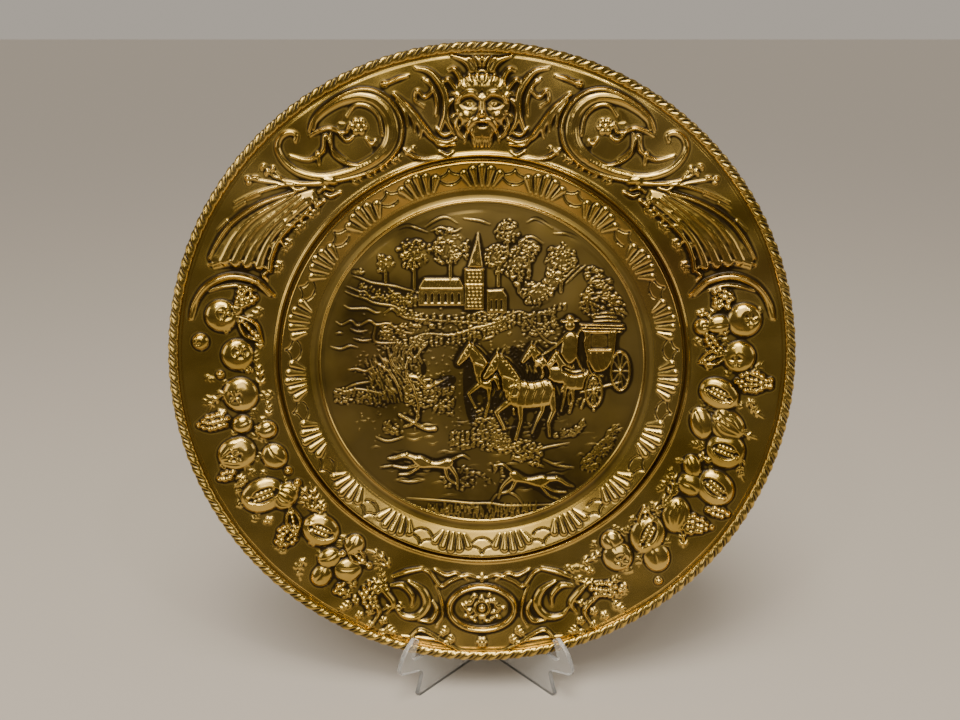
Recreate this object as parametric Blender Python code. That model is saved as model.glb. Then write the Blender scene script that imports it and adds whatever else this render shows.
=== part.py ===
"""Decorative wall plate of pressed brass, standing on a clear plate easel.

Metres, +Z up, +X to the right and -Y to the front. The plate is one solid: an ornamented
front, a plainly turned back and a rope-twisted bead round the edge.
"""
import math

import bpy
import numpy as np
from mathutils import Vector, geometry

for item in list(bpy.data.objects):
    bpy.data.objects.remove(item, do_unlink=True)

mm = 0.001

# Plate, from the middle outwards
roundel_radius = 159.5 * mm
fillet_width = 4.0 * mm
cove_width = 7.0 * mm
band_width = 23.5 * mm
groove_width = 6.5 * mm
inner_margin = 4.0 * mm
border_width = 85.0 * mm
outer_margin = 4.0 * mm
bead_width = 11.0 * mm
sheet = 0.9 * mm

# Heights of the plate's rings above the bottom of its groove
roundel_height = 5.0 * mm
fillet_height = 8.0 * mm
cove_height = 4.0 * mm
band_inner_height = 5.0 * mm
band_outer_height = 12.0 * mm
border_inner_height = 3.0 * mm
border_outer_height = 13.0 * mm
bead_rise = 5.0 * mm
bead_drop = 3.0 * mm

# Raised ornament
strands = 136
strand_depth = 0.8 * mm
shells = 19
shell_flutes = 5
shell_height = 2.0 * mm
fruit_height = 8.0 * mm
scroll_height = 5.5 * mm
figure_height = 4.0 * mm
raster_step = 1.25 * mm
relief_points = 2160
refinement_rounds = 9
point_spacing = 2.2 * mm
scene_weight = 2.5

# Easel
lean = math.radians(8.0)
spread = math.radians(40.0)
easel_offset = 4.0 * mm
panel_thickness = 5.0 * mm
panel_height = 170.0 * mm
panel_back_height = 148.0 * mm
foot_reach = 112.0 * mm
foot_rise = 9.0 * mm
neck_reach = 101.0 * mm
neck_height = 27.0 * mm
arm_reach = 133.0 * mm
arm_height = 37.0 * mm
prong_reach = 116.5 * mm
prong_height = 69.0 * mm
prong_lean = math.radians(26.0)
prong_tip = 6.0 * mm
rest_height = 44.0 * mm
post_radius = 5.5 * mm
post_sides = 16
clearance = 0.3 * mm

# Radii that follow from the widths
cove_radius = roundel_radius + fillet_width
band_inner_radius = cove_radius + cove_width
band_outer_radius = band_inner_radius + band_width
margin_radius = band_outer_radius + groove_width
border_inner_radius = margin_radius + inner_margin
border_outer_radius = border_inner_radius + border_width
edge_radius = border_outer_radius + outer_margin
plate_radius = edge_radius + bead_width
bead_center_radius = edge_radius + bead_width / 2
bead_half_height = (bead_rise + bead_drop) / 2
bead_center_height = border_outer_height + (bead_rise - bead_drop) / 2


def turned_height(radius):
    """Height of the plain turned plate under its ornament."""
    rings = (
        (0.0, roundel_height),
        (roundel_radius - fillet_width / 2, roundel_height),
        (roundel_radius + fillet_width / 2, fillet_height),
        (cove_radius + fillet_width / 4, cove_height),
        (band_inner_radius, band_inner_height),
        (band_outer_radius, band_outer_height),
        (band_outer_radius + groove_width / 3, 0.0),
        (band_outer_radius + groove_width * 2 / 3, 0.0),
        (margin_radius, border_inner_height + groove_width / 4),
        (border_inner_radius, border_inner_height),
        (edge_radius, border_outer_height),
    )
    return np.interp(radius, [r for r, h in rings], [h for r, h in rings])


def polar(clock, radius):
    """Point on the plate at a clock angle in degrees, clockwise from the top."""
    angle = math.radians(clock)
    return np.array((radius * math.sin(angle), radius * math.cos(angle)))


def border_point(clock, share):
    """Point on the border, with share 0 at its inner and 1 at its outer edge."""
    return polar(clock, border_inner_radius + share * border_width)


def local_points(clock, share, size, points):
    """Points of a motif, drawn in shares of size, with x clockwise and y outwards."""
    angle = math.radians(clock)
    across = np.array((math.cos(angle), -math.sin(angle)))
    outward = np.array((math.sin(angle), math.cos(angle)))
    origin = border_point(clock, share)
    return [origin + size * (x * across + y * outward) for x, y in points]


def curve(points, steps=6):
    """Smooth path through the points, as Catmull-Rom spans."""
    pts = [np.array(p, dtype=float) for p in points]
    pts = [2 * pts[0] - pts[1]] + pts + [2 * pts[-1] - pts[-2]]
    path = []
    for a, b, c, d in zip(pts, pts[1:], pts[2:], pts[3:]):
        for t in np.linspace(0, 1, steps, endpoint=False):
            path.append(0.5 * (2 * b + (c - a) * t + (2 * a - 5 * b + 4 * c - d) * t ** 2
                               + (3 * b - a - 3 * c + d) * t ** 3))
    path.append(pts[-2])
    return path


class Relief:
    """Heights on a square raster over the plate, raised one motif at a time."""

    def __init__(self, half, step):
        count = math.ceil(half / step)
        self.step = step
        self.axis = np.arange(-count, count + 1) * step
        self.height = np.zeros((len(self.axis), len(self.axis)))
        self.marks = []

    def window(self, low, high):
        """Rows, columns and coordinates of the raster inside a rectangle."""
        start = np.searchsorted(self.axis, low)
        stop = np.searchsorted(self.axis, high)
        rows = slice(start[1], stop[1])
        columns = slice(start[0], stop[0])
        u, v = np.meshgrid(self.axis[columns], self.axis[rows])
        return (rows, columns), u, v

    def dome(self, center, wide, long, turn, height):
        """Half ellipsoid, turned clockwise by an angle in degrees.

        Its top and points round its foot are marked, for the mesh to pass through.
        """
        if min(wide, long) > 2 * point_spacing:
            self.marks.append(center)
            for number in range(7):
                side = math.radians(turn) + 2 * math.pi * number / 7
                self.marks.append(center + 0.97 * np.array((wide * math.cos(side),
                                                            -long * math.sin(side))))
        reach = max(wide, long)
        where, u, v = self.window(center - reach, center + reach)
        angle = math.radians(turn)
        x = (u - center[0]) * math.cos(angle) - (v - center[1]) * math.sin(angle)
        y = (u - center[0]) * math.sin(angle) + (v - center[1]) * math.cos(angle)
        bump = height * np.clip(1 - (x / wide) ** 2 - (y / long) ** 2, 0, 1) ** 0.7
        self.height[where] = np.maximum(self.height[where], bump)

    def ridge(self, path, widths, height):
        """Rounded ridge along a path, its half width going through the widths given."""
        pts = np.array(path)
        spread_widths = np.interp(np.linspace(0, 1, len(pts)), np.linspace(0, 1, len(widths)),
                                  widths)
        widest = max(widths)
        for a, b, wa, wb in zip(pts, pts[1:], spread_widths, spread_widths[1:]):
            reach = max(wa, wb)
            where, u, v = self.window(np.minimum(a, b) - reach, np.maximum(a, b) + reach)
            run = b - a
            t = np.clip(((u - a[0]) * run[0] + (v - a[1]) * run[1]) / max(run @ run, 1e-12), 0, 1)
            far = np.hypot(u - a[0] - t * run[0], v - a[1] - t * run[1])
            half = wa + t * (wb - wa)
            level = height * (0.4 + 0.6 * half / widest)
            bump = level * np.clip(1 - (far / half) ** 2, 0, 1) ** 0.7
            self.height[where] = np.maximum(self.height[where], bump)

    def at(self, u, v):
        """Height between the raster's points."""
        x = np.clip((u - self.axis[0]) / self.step, 0, len(self.axis) - 1.001)
        y = np.clip((v - self.axis[0]) / self.step, 0, len(self.axis) - 1.001)
        i, j = x.astype(int), y.astype(int)
        p, q = x - i, y - j
        h = self.height
        return ((1 - q) * ((1 - p) * h[j, i] + p * h[j, i + 1])
                + q * ((1 - p) * h[j + 1, i] + p * h[j + 1, i + 1]))


def add_shells(relief):
    """Fans of flutes round the band, each with its middle flute longest."""
    pitch = 360 / shells
    for number in range(shells):
        for flute in range(shell_flutes):
            side = flute - (shell_flutes - 1) / 2
            reach = 0.72 - 0.09 * abs(side)
            foot = polar(number * pitch + side * pitch * 0.07,
                         band_inner_radius + 0.12 * band_width)
            tip = polar(number * pitch + side * pitch * 0.135,
                        band_inner_radius + reach * band_width)
            hollow = polar(number * pitch + (side + 0.5) * pitch * 0.13,
                           band_inner_radius + (reach + 0.06) * band_width)
            relief.ridge([foot, tip], (0.06 * band_width, 0.17 * band_width), shell_height)
            relief.marks += [foot, tip, hollow]


def add_mask(relief):
    """Grotesque mask at the top, with leaf crest, moustache and forked beard."""
    size = border_width
    face = local_points(0, 0.56, size, ((0, 0),))[0]
    relief.dome(face, 0.20 * size, 0.26 * size, 0, fruit_height * 0.8)
    nose = local_points(0, 0.56, size, ((0, 0.10), (0, -0.06)))
    relief.ridge(nose, (0.025 * size, 0.05 * size), fruit_height * 1.1)
    for side in (-1, 1):
        features = (
            (((0.02, 0.12), (0.12, 0.13), (0.19, 0.08)), (0.03, 0.02)),
            (((0.0, -0.10), (0.10, -0.13), (0.20, -0.08)), (0.04, 0.02)),
            (((0.02, -0.16), (0.06, -0.32), (0.16, -0.44)), (0.06, 0.02)),
            (((0.0, 0.22), (0.02, 0.34), (0.04, 0.42)), (0.05, 0.02)),
            (((0.08, 0.20), (0.18, 0.30), (0.28, 0.34)), (0.05, 0.02)),
            (((0.22, 0.06), (0.30, -0.06), (0.28, -0.22), (0.20, -0.32)), (0.05, 0.04)),
            (((0.34, -0.30), (0.36, -0.05), (0.46, 0.18), (0.62, 0.30)), (0.05, 0.03)),
            (((0.36, -0.16), (0.48, -0.02), (0.62, 0.04)), (0.05, 0.02)),
            (((0.10, -0.40), (0.34, -0.42), (0.60, -0.16), (0.86, 0.22)), (0.04, 0.02)),
        )
        for points, widths in features:
            path = local_points(0, 0.56, size, [(side * x, y) for x, y in points])
            relief.ridge(curve(path, 3), [w * size for w in widths], scroll_height)


def add_scrolls(relief):
    """Large C-scrolls round a flower, one on each side of the mask."""
    size = border_width
    for side in (-1, 1):
        clock = side * 27.0
        flower = local_points(clock, 0.58, size, ((0, 0),))[0]
        relief.dome(flower, 0.10 * size, 0.10 * size, 0, scroll_height)
        sweep = [(0.40 * math.cos(a), 0.40 * math.sin(a))
                 for a in np.linspace(math.radians(-135), math.radians(130), 14)]
        inner = [(0.24 * math.cos(a), 0.24 * math.sin(a))
                 for a in np.linspace(math.radians(-170), math.radians(60), 10)]
        volute = ((-0.34, -0.34), (-0.62, -0.28), (-0.80, -0.05), (-0.72, 0.12), (-0.60, 0.08))
        lines = ((sweep, (0.05, 0.09, 0.04)), (inner, (0.02, 0.04, 0.02)),
                 (volute, (0.05, 0.03)),
                 (((-0.36, -0.30), (-0.40, -0.10), (-0.56, 0.10)), (0.04, 0.02)),
                 (((-0.60, -0.36), (-0.92, -0.28), (-1.06, -0.10)), (0.03, 0.02)),
                 (((-0.60, -0.38), (-1.00, -0.42), (-1.22, -0.28)), (0.03, 0.02)))
        for points, widths in lines:
            path = local_points(clock, 0.58, size, [(-side * x, y) for x, y in points])
            relief.ridge(curve(path, 2), [w * size for w in widths], scroll_height)


def add_horns(relief):
    """Fluted cornucopia on each side, from its tail to a double lip."""
    size = border_width
    for side in (-1, 1):
        tail_clock, mouth_clock = side * 41.0, side * 71.0
        for share in (0.12, 0.32, 0.52, 0.72, 0.92):
            path = [border_point(tail_clock + (mouth_clock - tail_clock) * t,
                                 0.36 + 0.10 * t + (share - 0.46) * t ** 1.3)
                    for t in np.linspace(0, 1, 8)]
            relief.ridge(path, (0.05 * size, 0.12 * size), scroll_height)
        for lip in (0, 3.2):
            path = [border_point(mouth_clock + side * (lip + 4.5 * math.cos(math.pi * (t - 0.5))),
                                 0.03 + 0.95 * t) for t in np.linspace(0, 1, 9)]
            relief.ridge(path, (0.02 * size, 0.05 * size, 0.02 * size), scroll_height * 1.2)
        for number in range(5):
            clock = side * (40 + 5.5 * number)
            path = local_points(clock, 0.10, size, ((0.0, -0.04), (-side * 0.08, 0.07),
                                                   (-side * 0.02, 0.16)))
            relief.ridge(curve(path, 2), (0.03 * size, 0.05 * size), scroll_height * 0.7)


def add_fruits(relief):
    """Two garlands of fruit, each fruit placed by clock angle and share of the border."""
    size = border_width
    # Half width, half length and turn from the radius
    kinds = {
        "apple": (0.20, 0.20, 0),
        "pomegranate": (0.20, 0.25, 0),
        "plum": (0.13, 0.14, 0),
        "berry": (0.06, 0.06, 0),
        "grapes": (0.14, 0.22, 0),
        "leaf": (0.09, 0.19, 65),
    }
    garlands = {
        "apple": ((281, 0.6), (273, 0.4), (263, 0.4), (250, 0.6),
                  (80, 0.65), (88, 0.55), (110, 0.6), (145, 0.45)),
        "pomegranate": ((239, 0.6), (224, 0.35), (97, 0.35), (118, 0.7), (136, 0.4)),
        "plum": ((284, 0.35), (256, 0.45), (253, 0.2), (246, 0.25), (215, 0.25), (218, 0.55),
                 (213, 0.55), (217, 0.8), (80, 0.15), (78, 0.35), (106, 0.25), (102, 0.5),
                 (116, 0.35), (120, 0.4), (144, 0.2), (138, 0.7)),
        "berry": ((275, 0.8), (268, 0.6), (240, 0.2), (236, 0.2), (216, 0.4), (141, 0.9)),
        "grapes": ((258, 0.8), (229, 0.7), (206, 0.75), (95, 0.85), (127, 0.75)),
        "leaf": ((279, 0.2), (231, 0.25), (86, 0.2), (126, 0.3), (152, 0.5)),
    }
    for kind, places in garlands.items():
        wide, long, turn = kinds[kind]
        height = fruit_height * (0.45 + 2.4 * wide)
        for clock, share in places:
            relief.dome(border_point(clock, share), wide * size, long * size, clock + turn,
                        height)


def add_medallion(relief):
    """Oval medallion at the foot of the border, with ribbons and scroll leaves."""
    size = border_width
    center = border_point(180, 0.52)
    oval = [center + size * np.array((0.41 * math.cos(a), 0.28 * math.sin(a)))
            for a in np.linspace(0, 2 * math.pi, 25)]
    relief.ridge(oval, (0.035 * size, 0.035 * size), scroll_height)
    relief.dome(center, 0.07 * size, 0.07 * size, 0, scroll_height * 0.8)
    for number in range(8):
        angle = 2 * math.pi * number / 8
        petal = center + size * np.array((0.22 * math.cos(angle), 0.15 * math.sin(angle)))
        relief.dome(petal, 0.055 * size, 0.055 * size, 0, scroll_height * 0.5)
    for side in (-1, 1):
        lines = (
            (((0.04, -0.34), (0.22, -0.40), (0.40, -0.34), (0.58, -0.38)), (0.05, 0.04)),
            (((0.44, -0.44), (0.66, -0.36), (0.88, -0.34)), (0.05, 0.05)),
            (((0.10, 0.36), (0.26, 0.30), (0.42, 0.38), (0.54, 0.36)), (0.05, 0.03)),
            (((0.52, 0.10), (0.60, -0.10), (0.80, -0.20), (1.02, -0.06)), (0.04, 0.07)),
            (((0.62, 0.24), (0.74, 0.06), (0.92, 0.14), (1.08, 0.20)), (0.04, 0.05)),
            (((1.02, 0.02), (1.26, -0.04), (1.44, 0.10)), (0.06, 0.03)),
        )
        for points, widths in lines:
            path = local_points(180, 0.52, size, [(side * x, y) for x, y in points])
            relief.ridge(curve(path, 3), [w * size for w in widths], scroll_height * 0.8)


def add_scene(relief):
    """Coach and horses before a church, in shares of the roundel's radius."""
    size = roundel_radius
    lines = (
        (((-0.84, 0.50), (-0.66, 0.44), (-0.50, 0.40), (-0.40, 0.36)), (0.014,), 0.4),
        (((-0.90, 0.24), (-0.68, 0.16), (-0.46, 0.10), (-0.10, 0.08), (0.20, 0.16)), (0.02,), 0.5),
        (((-0.86, -0.02), (-0.62, 0.03), (-0.40, -0.06)), (0.02,), 0.4),
        (((0.10, 0.20), (0.40, 0.24), (0.62, 0.30), (0.82, 0.28)), (0.02,), 0.5),
        (((-0.56, -0.98), (-0.30, -0.86), (0.10, -0.86), (0.52, -0.82)), (0.02, 0.04), 0.6),
        (((-0.20, -0.50), (0.06, -0.44), (0.30, -0.50), (0.60, -0.36)), (0.04, 0.03), 0.6),
        (((-0.60, -0.60), (-0.40, -0.55), (-0.18, -0.58)), (0.02, 0.045, 0.02), 0.8),
        (((-0.24, -0.60), (-0.12, -0.72)), (0.02,), 0.6),
        (((0.20, -0.70), (0.38, -0.72), (0.54, -0.76)), (0.02, 0.05, 0.02), 0.8),
        (((0.50, -0.78), (0.56, -0.88)), (0.02,), 0.6),
        (((-0.42, -0.24), (-0.52, -0.10), (-0.44, 0.04), (-0.50, 0.16)), (0.06, 0.03), 0.7),
        (((-0.90, -0.20), (-0.74, -0.14), (-0.58, -0.20)), (0.04, 0.05, 0.03), 0.6),
    )
    for points, widths, rise in lines:
        path = curve([size * np.array(p) for p in points], 3)
        relief.ridge(path, [w * size for w in widths], figure_height * rise)
    crowns = (
        (-0.58, 0.60, 0.16, 0.13), (-0.42, 0.66, 0.12, 0.10), (-0.20, 0.72, 0.11, 0.11),
        (0.10, 0.76, 0.13, 0.10), (0.32, 0.72, 0.14, 0.14), (0.18, 0.56, 0.14, 0.12),
        (0.48, 0.56, 0.12, 0.14), (0.30, 0.40, 0.12, 0.10), (0.76, 0.46, 0.10, 0.10),
        (0.88, 0.28, 0.07, 0.14), (-0.02, 0.62, 0.08, 0.08),
    )
    for x, y, wide, long in crowns:
        relief.dome(size * np.array((x, y)), wide * size, long * size, 0, figure_height * 0.6)
    walls = (
        ((-0.38, 0.44), (-0.14, 0.44), 0.05), ((-0.38, 0.35), (-0.14, 0.35), 0.06),
        ((-0.04, 0.60), (-0.04, 0.32), 0.055), ((0.06, 0.40), (0.12, 0.36), 0.05),
        ((0.66, 0.16), (0.90, 0.14), 0.03), ((0.70, 0.04), (0.84, 0.02), 0.10),
        ((0.52, 0.02), (0.56, 0.14), 0.06),
    )
    for start, end, width in walls:
        relief.ridge([size * np.array(start), size * np.array(end)], (width * size,),
                     figure_height * 0.7)
    spire = [size * np.array((-0.04, y)) for y in (0.60, 0.84)]
    relief.ridge(spire, (0.05 * size, 0.005 * size), figure_height * 0.6)
    for x, y, scale in ((-0.12, 0.06, 0.8), (0.14, -0.06, 1.0), (0.34, 0.08, 0.75),
                        (0.50, -0.02, 0.8)):
        add_horse(relief, np.array((x, y)) * size, scale * size)
    for x, y in ((0.68, -0.16), (0.86, -0.04)):
        wheel = [size * np.array((x + 0.08 * math.cos(a), y + 0.10 * math.sin(a)))
                 for a in np.linspace(0, 2 * math.pi, 13)]
        relief.ridge(wheel, (0.022 * size,), figure_height * 0.8)


def add_horse(relief, place, size):
    """Harnessed horse seen from its near side, walking to the left."""
    parts = (
        (((0.00, -0.02), (0.12, -0.04), (0.26, -0.02)), (0.09, 0.085, 0.09)),
        (((-0.02, 0.03), (-0.09, 0.14), (-0.12, 0.20)), (0.065, 0.04)),
        (((-0.12, 0.20), (-0.22, 0.12)), (0.04, 0.02)),
        (((-0.02, -0.08), (-0.10, -0.20), (-0.08, -0.34)), (0.04, 0.018)),
        (((0.04, -0.08), (0.04, -0.26), (0.00, -0.42)), (0.04, 0.018)),
        (((0.28, -0.06), (0.30, -0.22), (0.24, -0.38)), (0.05, 0.018)),
        (((0.22, -0.08), (0.20, -0.24), (0.26, -0.36)), (0.04, 0.018)),
    )
    for points, widths in parts:
        path = curve([place + size * np.array(p) for p in points], 2)
        relief.ridge(path, [w * size for w in widths], figure_height)


def raised_plate():
    """Raster of the plate's front: the turned form with all its ornament."""
    relief = Relief(edge_radius + 2 * raster_step, raster_step)
    add_shells(relief)
    add_mask(relief)
    add_scrolls(relief)
    add_horns(relief)
    add_fruits(relief)
    add_medallion(relief)
    add_scene(relief)
    u, v = np.meshgrid(relief.axis, relief.axis)
    radius = np.hypot(u, v)
    relief.height[radius > border_outer_radius] = 0
    relief.height += turned_height(radius)
    return relief


def back_height(radius):
    """Height of the plainer back, a sheet's thickness under the lowest of the front."""
    near = radius + np.linspace(-groove_width, groove_width, 9)
    return turned_height(np.abs(near)).min() - sheet


def triangulate(points, rings):
    """Triangles between the points that keep the edges of every closed ring."""
    flat = [Vector((p[0], p[1])) for p in points]
    edges = []
    for start, count in rings:
        edges += [(start + i, start + (i + 1) % count) for i in range(count)]
    outer = [list(range(rings[0][1]))]
    return geometry.delaunay_2d_cdt(flat, edges, outer, 1, 1e-6)[2]


def worst_points(relief, points, heights, triangles):
    """The raster point that each triangle misses by most, worst triangles first.

    A triangle counts by the volume between it and the relief, and by more on the
    roundel, whose figures are lower than the ornament of the border.
    """
    found = []
    for corners in triangles:
        a, b, c = points[corners]
        low = np.minimum(np.minimum(a, b), c)
        high = np.maximum(np.maximum(a, b), c)
        area = (b[0] - a[0]) * (c[1] - a[1]) - (b[1] - a[1]) * (c[0] - a[0])
        if abs(area) < point_spacing ** 2 / 2:
            continue
        where, u, v = relief.window(low, high)
        if u.size == 0:
            continue
        s = ((u - a[0]) * (c[1] - a[1]) - (v - a[1]) * (c[0] - a[0])) / area
        t = ((b[0] - a[0]) * (v - a[1]) - (b[1] - a[1]) * (u - a[0])) / area
        ha, hb, hc = heights[corners]
        flat = ha + s * (hb - ha) + t * (hc - ha)
        inside = (s > 0) & (t > 0) & (s + t < 1)
        miss = np.where(inside, np.abs(relief.height[where] - flat), 0)
        weight = scene_weight if np.hypot(*a) < roundel_radius - fillet_width else 1
        worst = np.argmax(miss)
        found.append((miss.sum() * weight, u.flat[worst], v.flat[worst]))
    found.sort(reverse=True)
    return found


def mesh_front(relief):
    """Points, heights and triangles over the front that follow its relief closest."""
    points = []
    rings = []
    for radius, count in (
        (edge_radius, 2 * strands), (margin_radius, 60),
        (band_outer_radius + groove_width / 2, 60), (band_outer_radius, 3 * shells),
        (band_inner_radius, 2 * shells), (cove_radius + fillet_width / 4, 48),
        (roundel_radius + fillet_width / 2, 48), (roundel_radius - fillet_width / 2, 48),
    ):
        rings.append((len(points), count))
        points += [polar(360 * number / count, radius) for number in range(count)]
    target = len(points) + relief_points
    for mark in relief.marks:
        if np.abs(np.array(points) - mark).max(axis=1).min() > point_spacing:
            points.append(mark)
    for left in range(refinement_rounds, -1, -1):
        array = np.array(points)
        triangles = triangulate(points, rings)
        heights = relief.at(array[:, 0], array[:, 1])
        if left == 0:
            return array, heights, triangles
        wanted = (target - len(points)) // left
        for miss, u, v in worst_points(relief, array, heights, triangles):
            if wanted <= 0:
                break
            spot = np.array((u, v))
            near = np.abs(np.array(points) - spot).max(axis=1).min()
            if near > point_spacing:
                points.append(spot)
                wanted -= 1


def mesh_back():
    """Points, heights and triangles of the back, whose rings are plainly turned."""
    points = []
    heights = []
    rings = []
    for radius, count in (
        (edge_radius, 2 * strands), (border_outer_radius - outer_margin, 68),
        ((border_inner_radius + border_outer_radius) / 2, 60), (border_inner_radius, 52),
        (band_outer_radius, 52), (band_inner_radius, 44), (roundel_radius, 44),
        (roundel_radius / 2, 20),
    ):
        rings.append((len(points), count))
        points += [polar(360 * number / count, radius) for number in range(count)]
        level = border_outer_height - sheet if radius == edge_radius else back_height(radius)
        heights += [level] * count
    return np.array(points), heights, triangulate(points, rings)


def bead_rows():
    """Section points of the rope bead: angle on it, strand depth share, twist share."""
    return ((125, 0.6, 0.0), (75, 1.0, 0.6), (25, 1.0, 1.2), (-30, 0.6, 1.5), (-110, 0.0, 0.5))


def bead_point(angle, depth, clock):
    """Point of the bead at an angle round its section, sunk by depth."""
    turn = math.radians(angle)
    radius = bead_center_radius + (bead_width / 2 - depth) * math.cos(turn)
    height = bead_center_height + (bead_half_height - depth) * math.sin(turn)
    u, v = polar(clock, radius)
    return (u, v, height)


def make_object(name, vertices, faces, material, smooth_angle=None):
    mesh = bpy.data.meshes.new(name)
    mesh.from_pydata(vertices, [], faces)
    mesh.materials.append(material)
    mesh.validate()
    thing = bpy.data.objects.new(name, mesh)
    bpy.context.scene.collection.objects.link(thing)
    if smooth_angle:
        mesh.shade_smooth()
        mesh.set_sharp_from_angle(angle=smooth_angle)
    return thing


def principled(name, color, roughness, metallic, alpha=1.0):
    material = bpy.data.materials.new(name)
    material.use_nodes = True
    shader = material.node_tree.nodes["Principled BSDF"]
    shader.inputs["Base Color"].default_value = (*color, 1.0)
    shader.inputs["Roughness"].default_value = roughness
    shader.inputs["Metallic"].default_value = metallic
    shader.inputs["Alpha"].default_value = alpha
    return material


def make_plate(material):
    """One solid: the ornamented front, the plainer back and the bead round both."""
    front, front_heights, front_faces = mesh_front(raised_plate())
    back, back_heights, back_faces = mesh_back()
    vertices = [(u, v, h) for (u, v), h in zip(front, front_heights)]
    vertices += [(u, v, h) for (u, v), h in zip(back, back_heights)]
    faces = [tuple(corners) for corners in front_faces]
    faces += [tuple(len(front) + i for i in reversed(corners)) for corners in back_faces]

    around = 2 * strands
    rows = [list(range(around))]
    for angle, share, twist in bead_rows():
        rows.append(list(range(len(vertices), len(vertices) + around)))
        for number in range(around):
            groove = share * strand_depth * (number % 2)
            vertices.append(bead_point(angle, groove, (number + twist) * 360 / around))
    rows.append(list(range(len(front), len(front) + around)))
    for row, following in zip(rows, rows[1:]):
        for number in range(around):
            after = (number + 1) % around
            faces.append((row[number], row[after], following[after]))
            faces.append((row[number], following[after], following[number]))
    return make_object("plate", vertices, faces, material, math.radians(50))


def rest_level(distance):
    """Lowest level of the leaning bead over a panel, relative to the plate's centre."""
    clocks = np.radians(np.linspace(150, 210, 1201))
    turns = np.radians(np.linspace(-180, 180, 73))
    clock, turn = np.meshgrid(clocks, turns)
    radius = bead_center_radius + bead_width / 2 * np.cos(turn)
    height = bead_center_height + bead_half_height * np.sin(turn)
    u, v = radius * np.sin(clock), radius * np.cos(clock)
    side = np.abs(u - easel_offset)
    level = v * math.cos(lean) + height * math.sin(lean)
    near = np.abs(side - distance) < (panel_thickness + bead_width) / 2
    return level[near].min()


def fillet(corner, before, after, radius, steps=4):
    """Points of an arc that rounds a corner, tangent to both of its sides."""
    p, a, b = (np.array(q, dtype=float) for q in (corner, before, after))
    into, out = (a - p) / np.linalg.norm(a - p), (b - p) / np.linalg.norm(b - p)
    half = math.acos(np.clip(into @ out, -1, 1)) / 2
    room = 0.45 * min(np.linalg.norm(a - p), np.linalg.norm(b - p))
    setback = min(radius / math.tan(half), room)
    radius = setback * math.tan(half)
    bisector = (into + out) / np.linalg.norm(into + out)
    center = p + bisector * radius / math.sin(half)
    start, end = p + into * setback - center, p + out * setback - center
    sweep = math.atan2(start[0] * end[1] - start[1] * end[0], start @ end)
    arc = []
    for t in np.linspace(0, 1, steps):
        turn = sweep * t
        arc.append(center + (start[0] * math.cos(turn) - start[1] * math.sin(turn),
                             start[0] * math.sin(turn) + start[1] * math.cos(turn)))
    return arc


def panel_outline(backrest):
    """Outline of an easel panel: distance forward from the hinge line, and height."""
    start = post_radius + clearance
    tip_height = prong_height - prong_tip
    tip = prong_reach - (tip_height - rest_height) * math.tan(prong_lean)
    corners = (
        (start, 0, 0),
        (foot_reach, 0, foot_rise / 3),
        (foot_reach - foot_rise / 2, foot_rise, foot_rise / 2),
        (neck_reach, neck_height, panel_thickness),
        (arm_reach, arm_height, panel_thickness / 2),
        (arm_reach + prong_tip / 3, rest_height, panel_thickness),
        ((arm_reach + tip) / 2 + prong_tip, tip_height - prong_tip / 2, 4 * prong_tip),
        (tip + prong_tip, prong_height, prong_tip / 2),
        (tip, tip_height + prong_tip / 2, prong_tip / 3),
        (prong_reach, rest_height, panel_thickness / 2),
        (backrest(rest_height), rest_height, panel_thickness / 2),
        (backrest(panel_height), panel_height, 2 * panel_thickness),
        (start + 2 * post_radius, panel_height - panel_thickness, 2 * panel_thickness),
        (start, panel_back_height, 0),
    )
    outline = []
    for number, (s, z, radius) in enumerate(corners):
        if radius == 0:
            outline.append(np.array((s, z)))
            continue
        before, after = corners[number - 1], corners[(number + 1) % len(corners)]
        outline += fillet((s, z), before[:2], after[:2], radius)
    return outline


def make_panel(name, side, outline, material):
    """Flat easel panel, standing on its foot and turned outwards from the hinge line."""
    forward = np.array((side * math.sin(spread), -math.cos(spread)))
    across = np.array((side * math.cos(spread), math.sin(spread)))
    vertices = []
    for offset in (-panel_thickness / 2, panel_thickness / 2):
        for s, z in outline:
            x, y = s * forward + offset * across
            vertices.append((x, y, z))
    count = len(outline)
    sides = [(i, (i + 1) % count, count + (i + 1) % count, count + i) for i in range(count)]
    faces = [tuple(reversed(range(count))), tuple(range(count, 2 * count))] + sides
    if side > 0:
        faces = [tuple(reversed(face)) for face in faces]
    return make_object(name, vertices, faces, material)


def make_post(material):
    """Upright hinge post that the back edges of both panels meet."""
    ring = [(post_radius * math.cos(2 * math.pi * i / post_sides),
             post_radius * math.sin(2 * math.pi * i / post_sides)) for i in range(post_sides)]
    vertices = [(x, y, z) for z in (0, panel_back_height) for x, y in ring]
    faces = [tuple(reversed(range(post_sides))), tuple(range(post_sides, 2 * post_sides))]
    for i in range(post_sides):
        after = (i + 1) % post_sides
        faces.append((i, after, post_sides + after, post_sides + i))
    return make_object("easel_hinge_post", vertices, faces, material, math.radians(40))


brass = principled("brass", (0.36, 0.25, 0.07), 0.28, 1.0)
clear_plastic = principled("clear_plastic", (0.86, 0.87, 0.85), 0.08, 0.0, 0.25)

plate = make_plate(brass)

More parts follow.
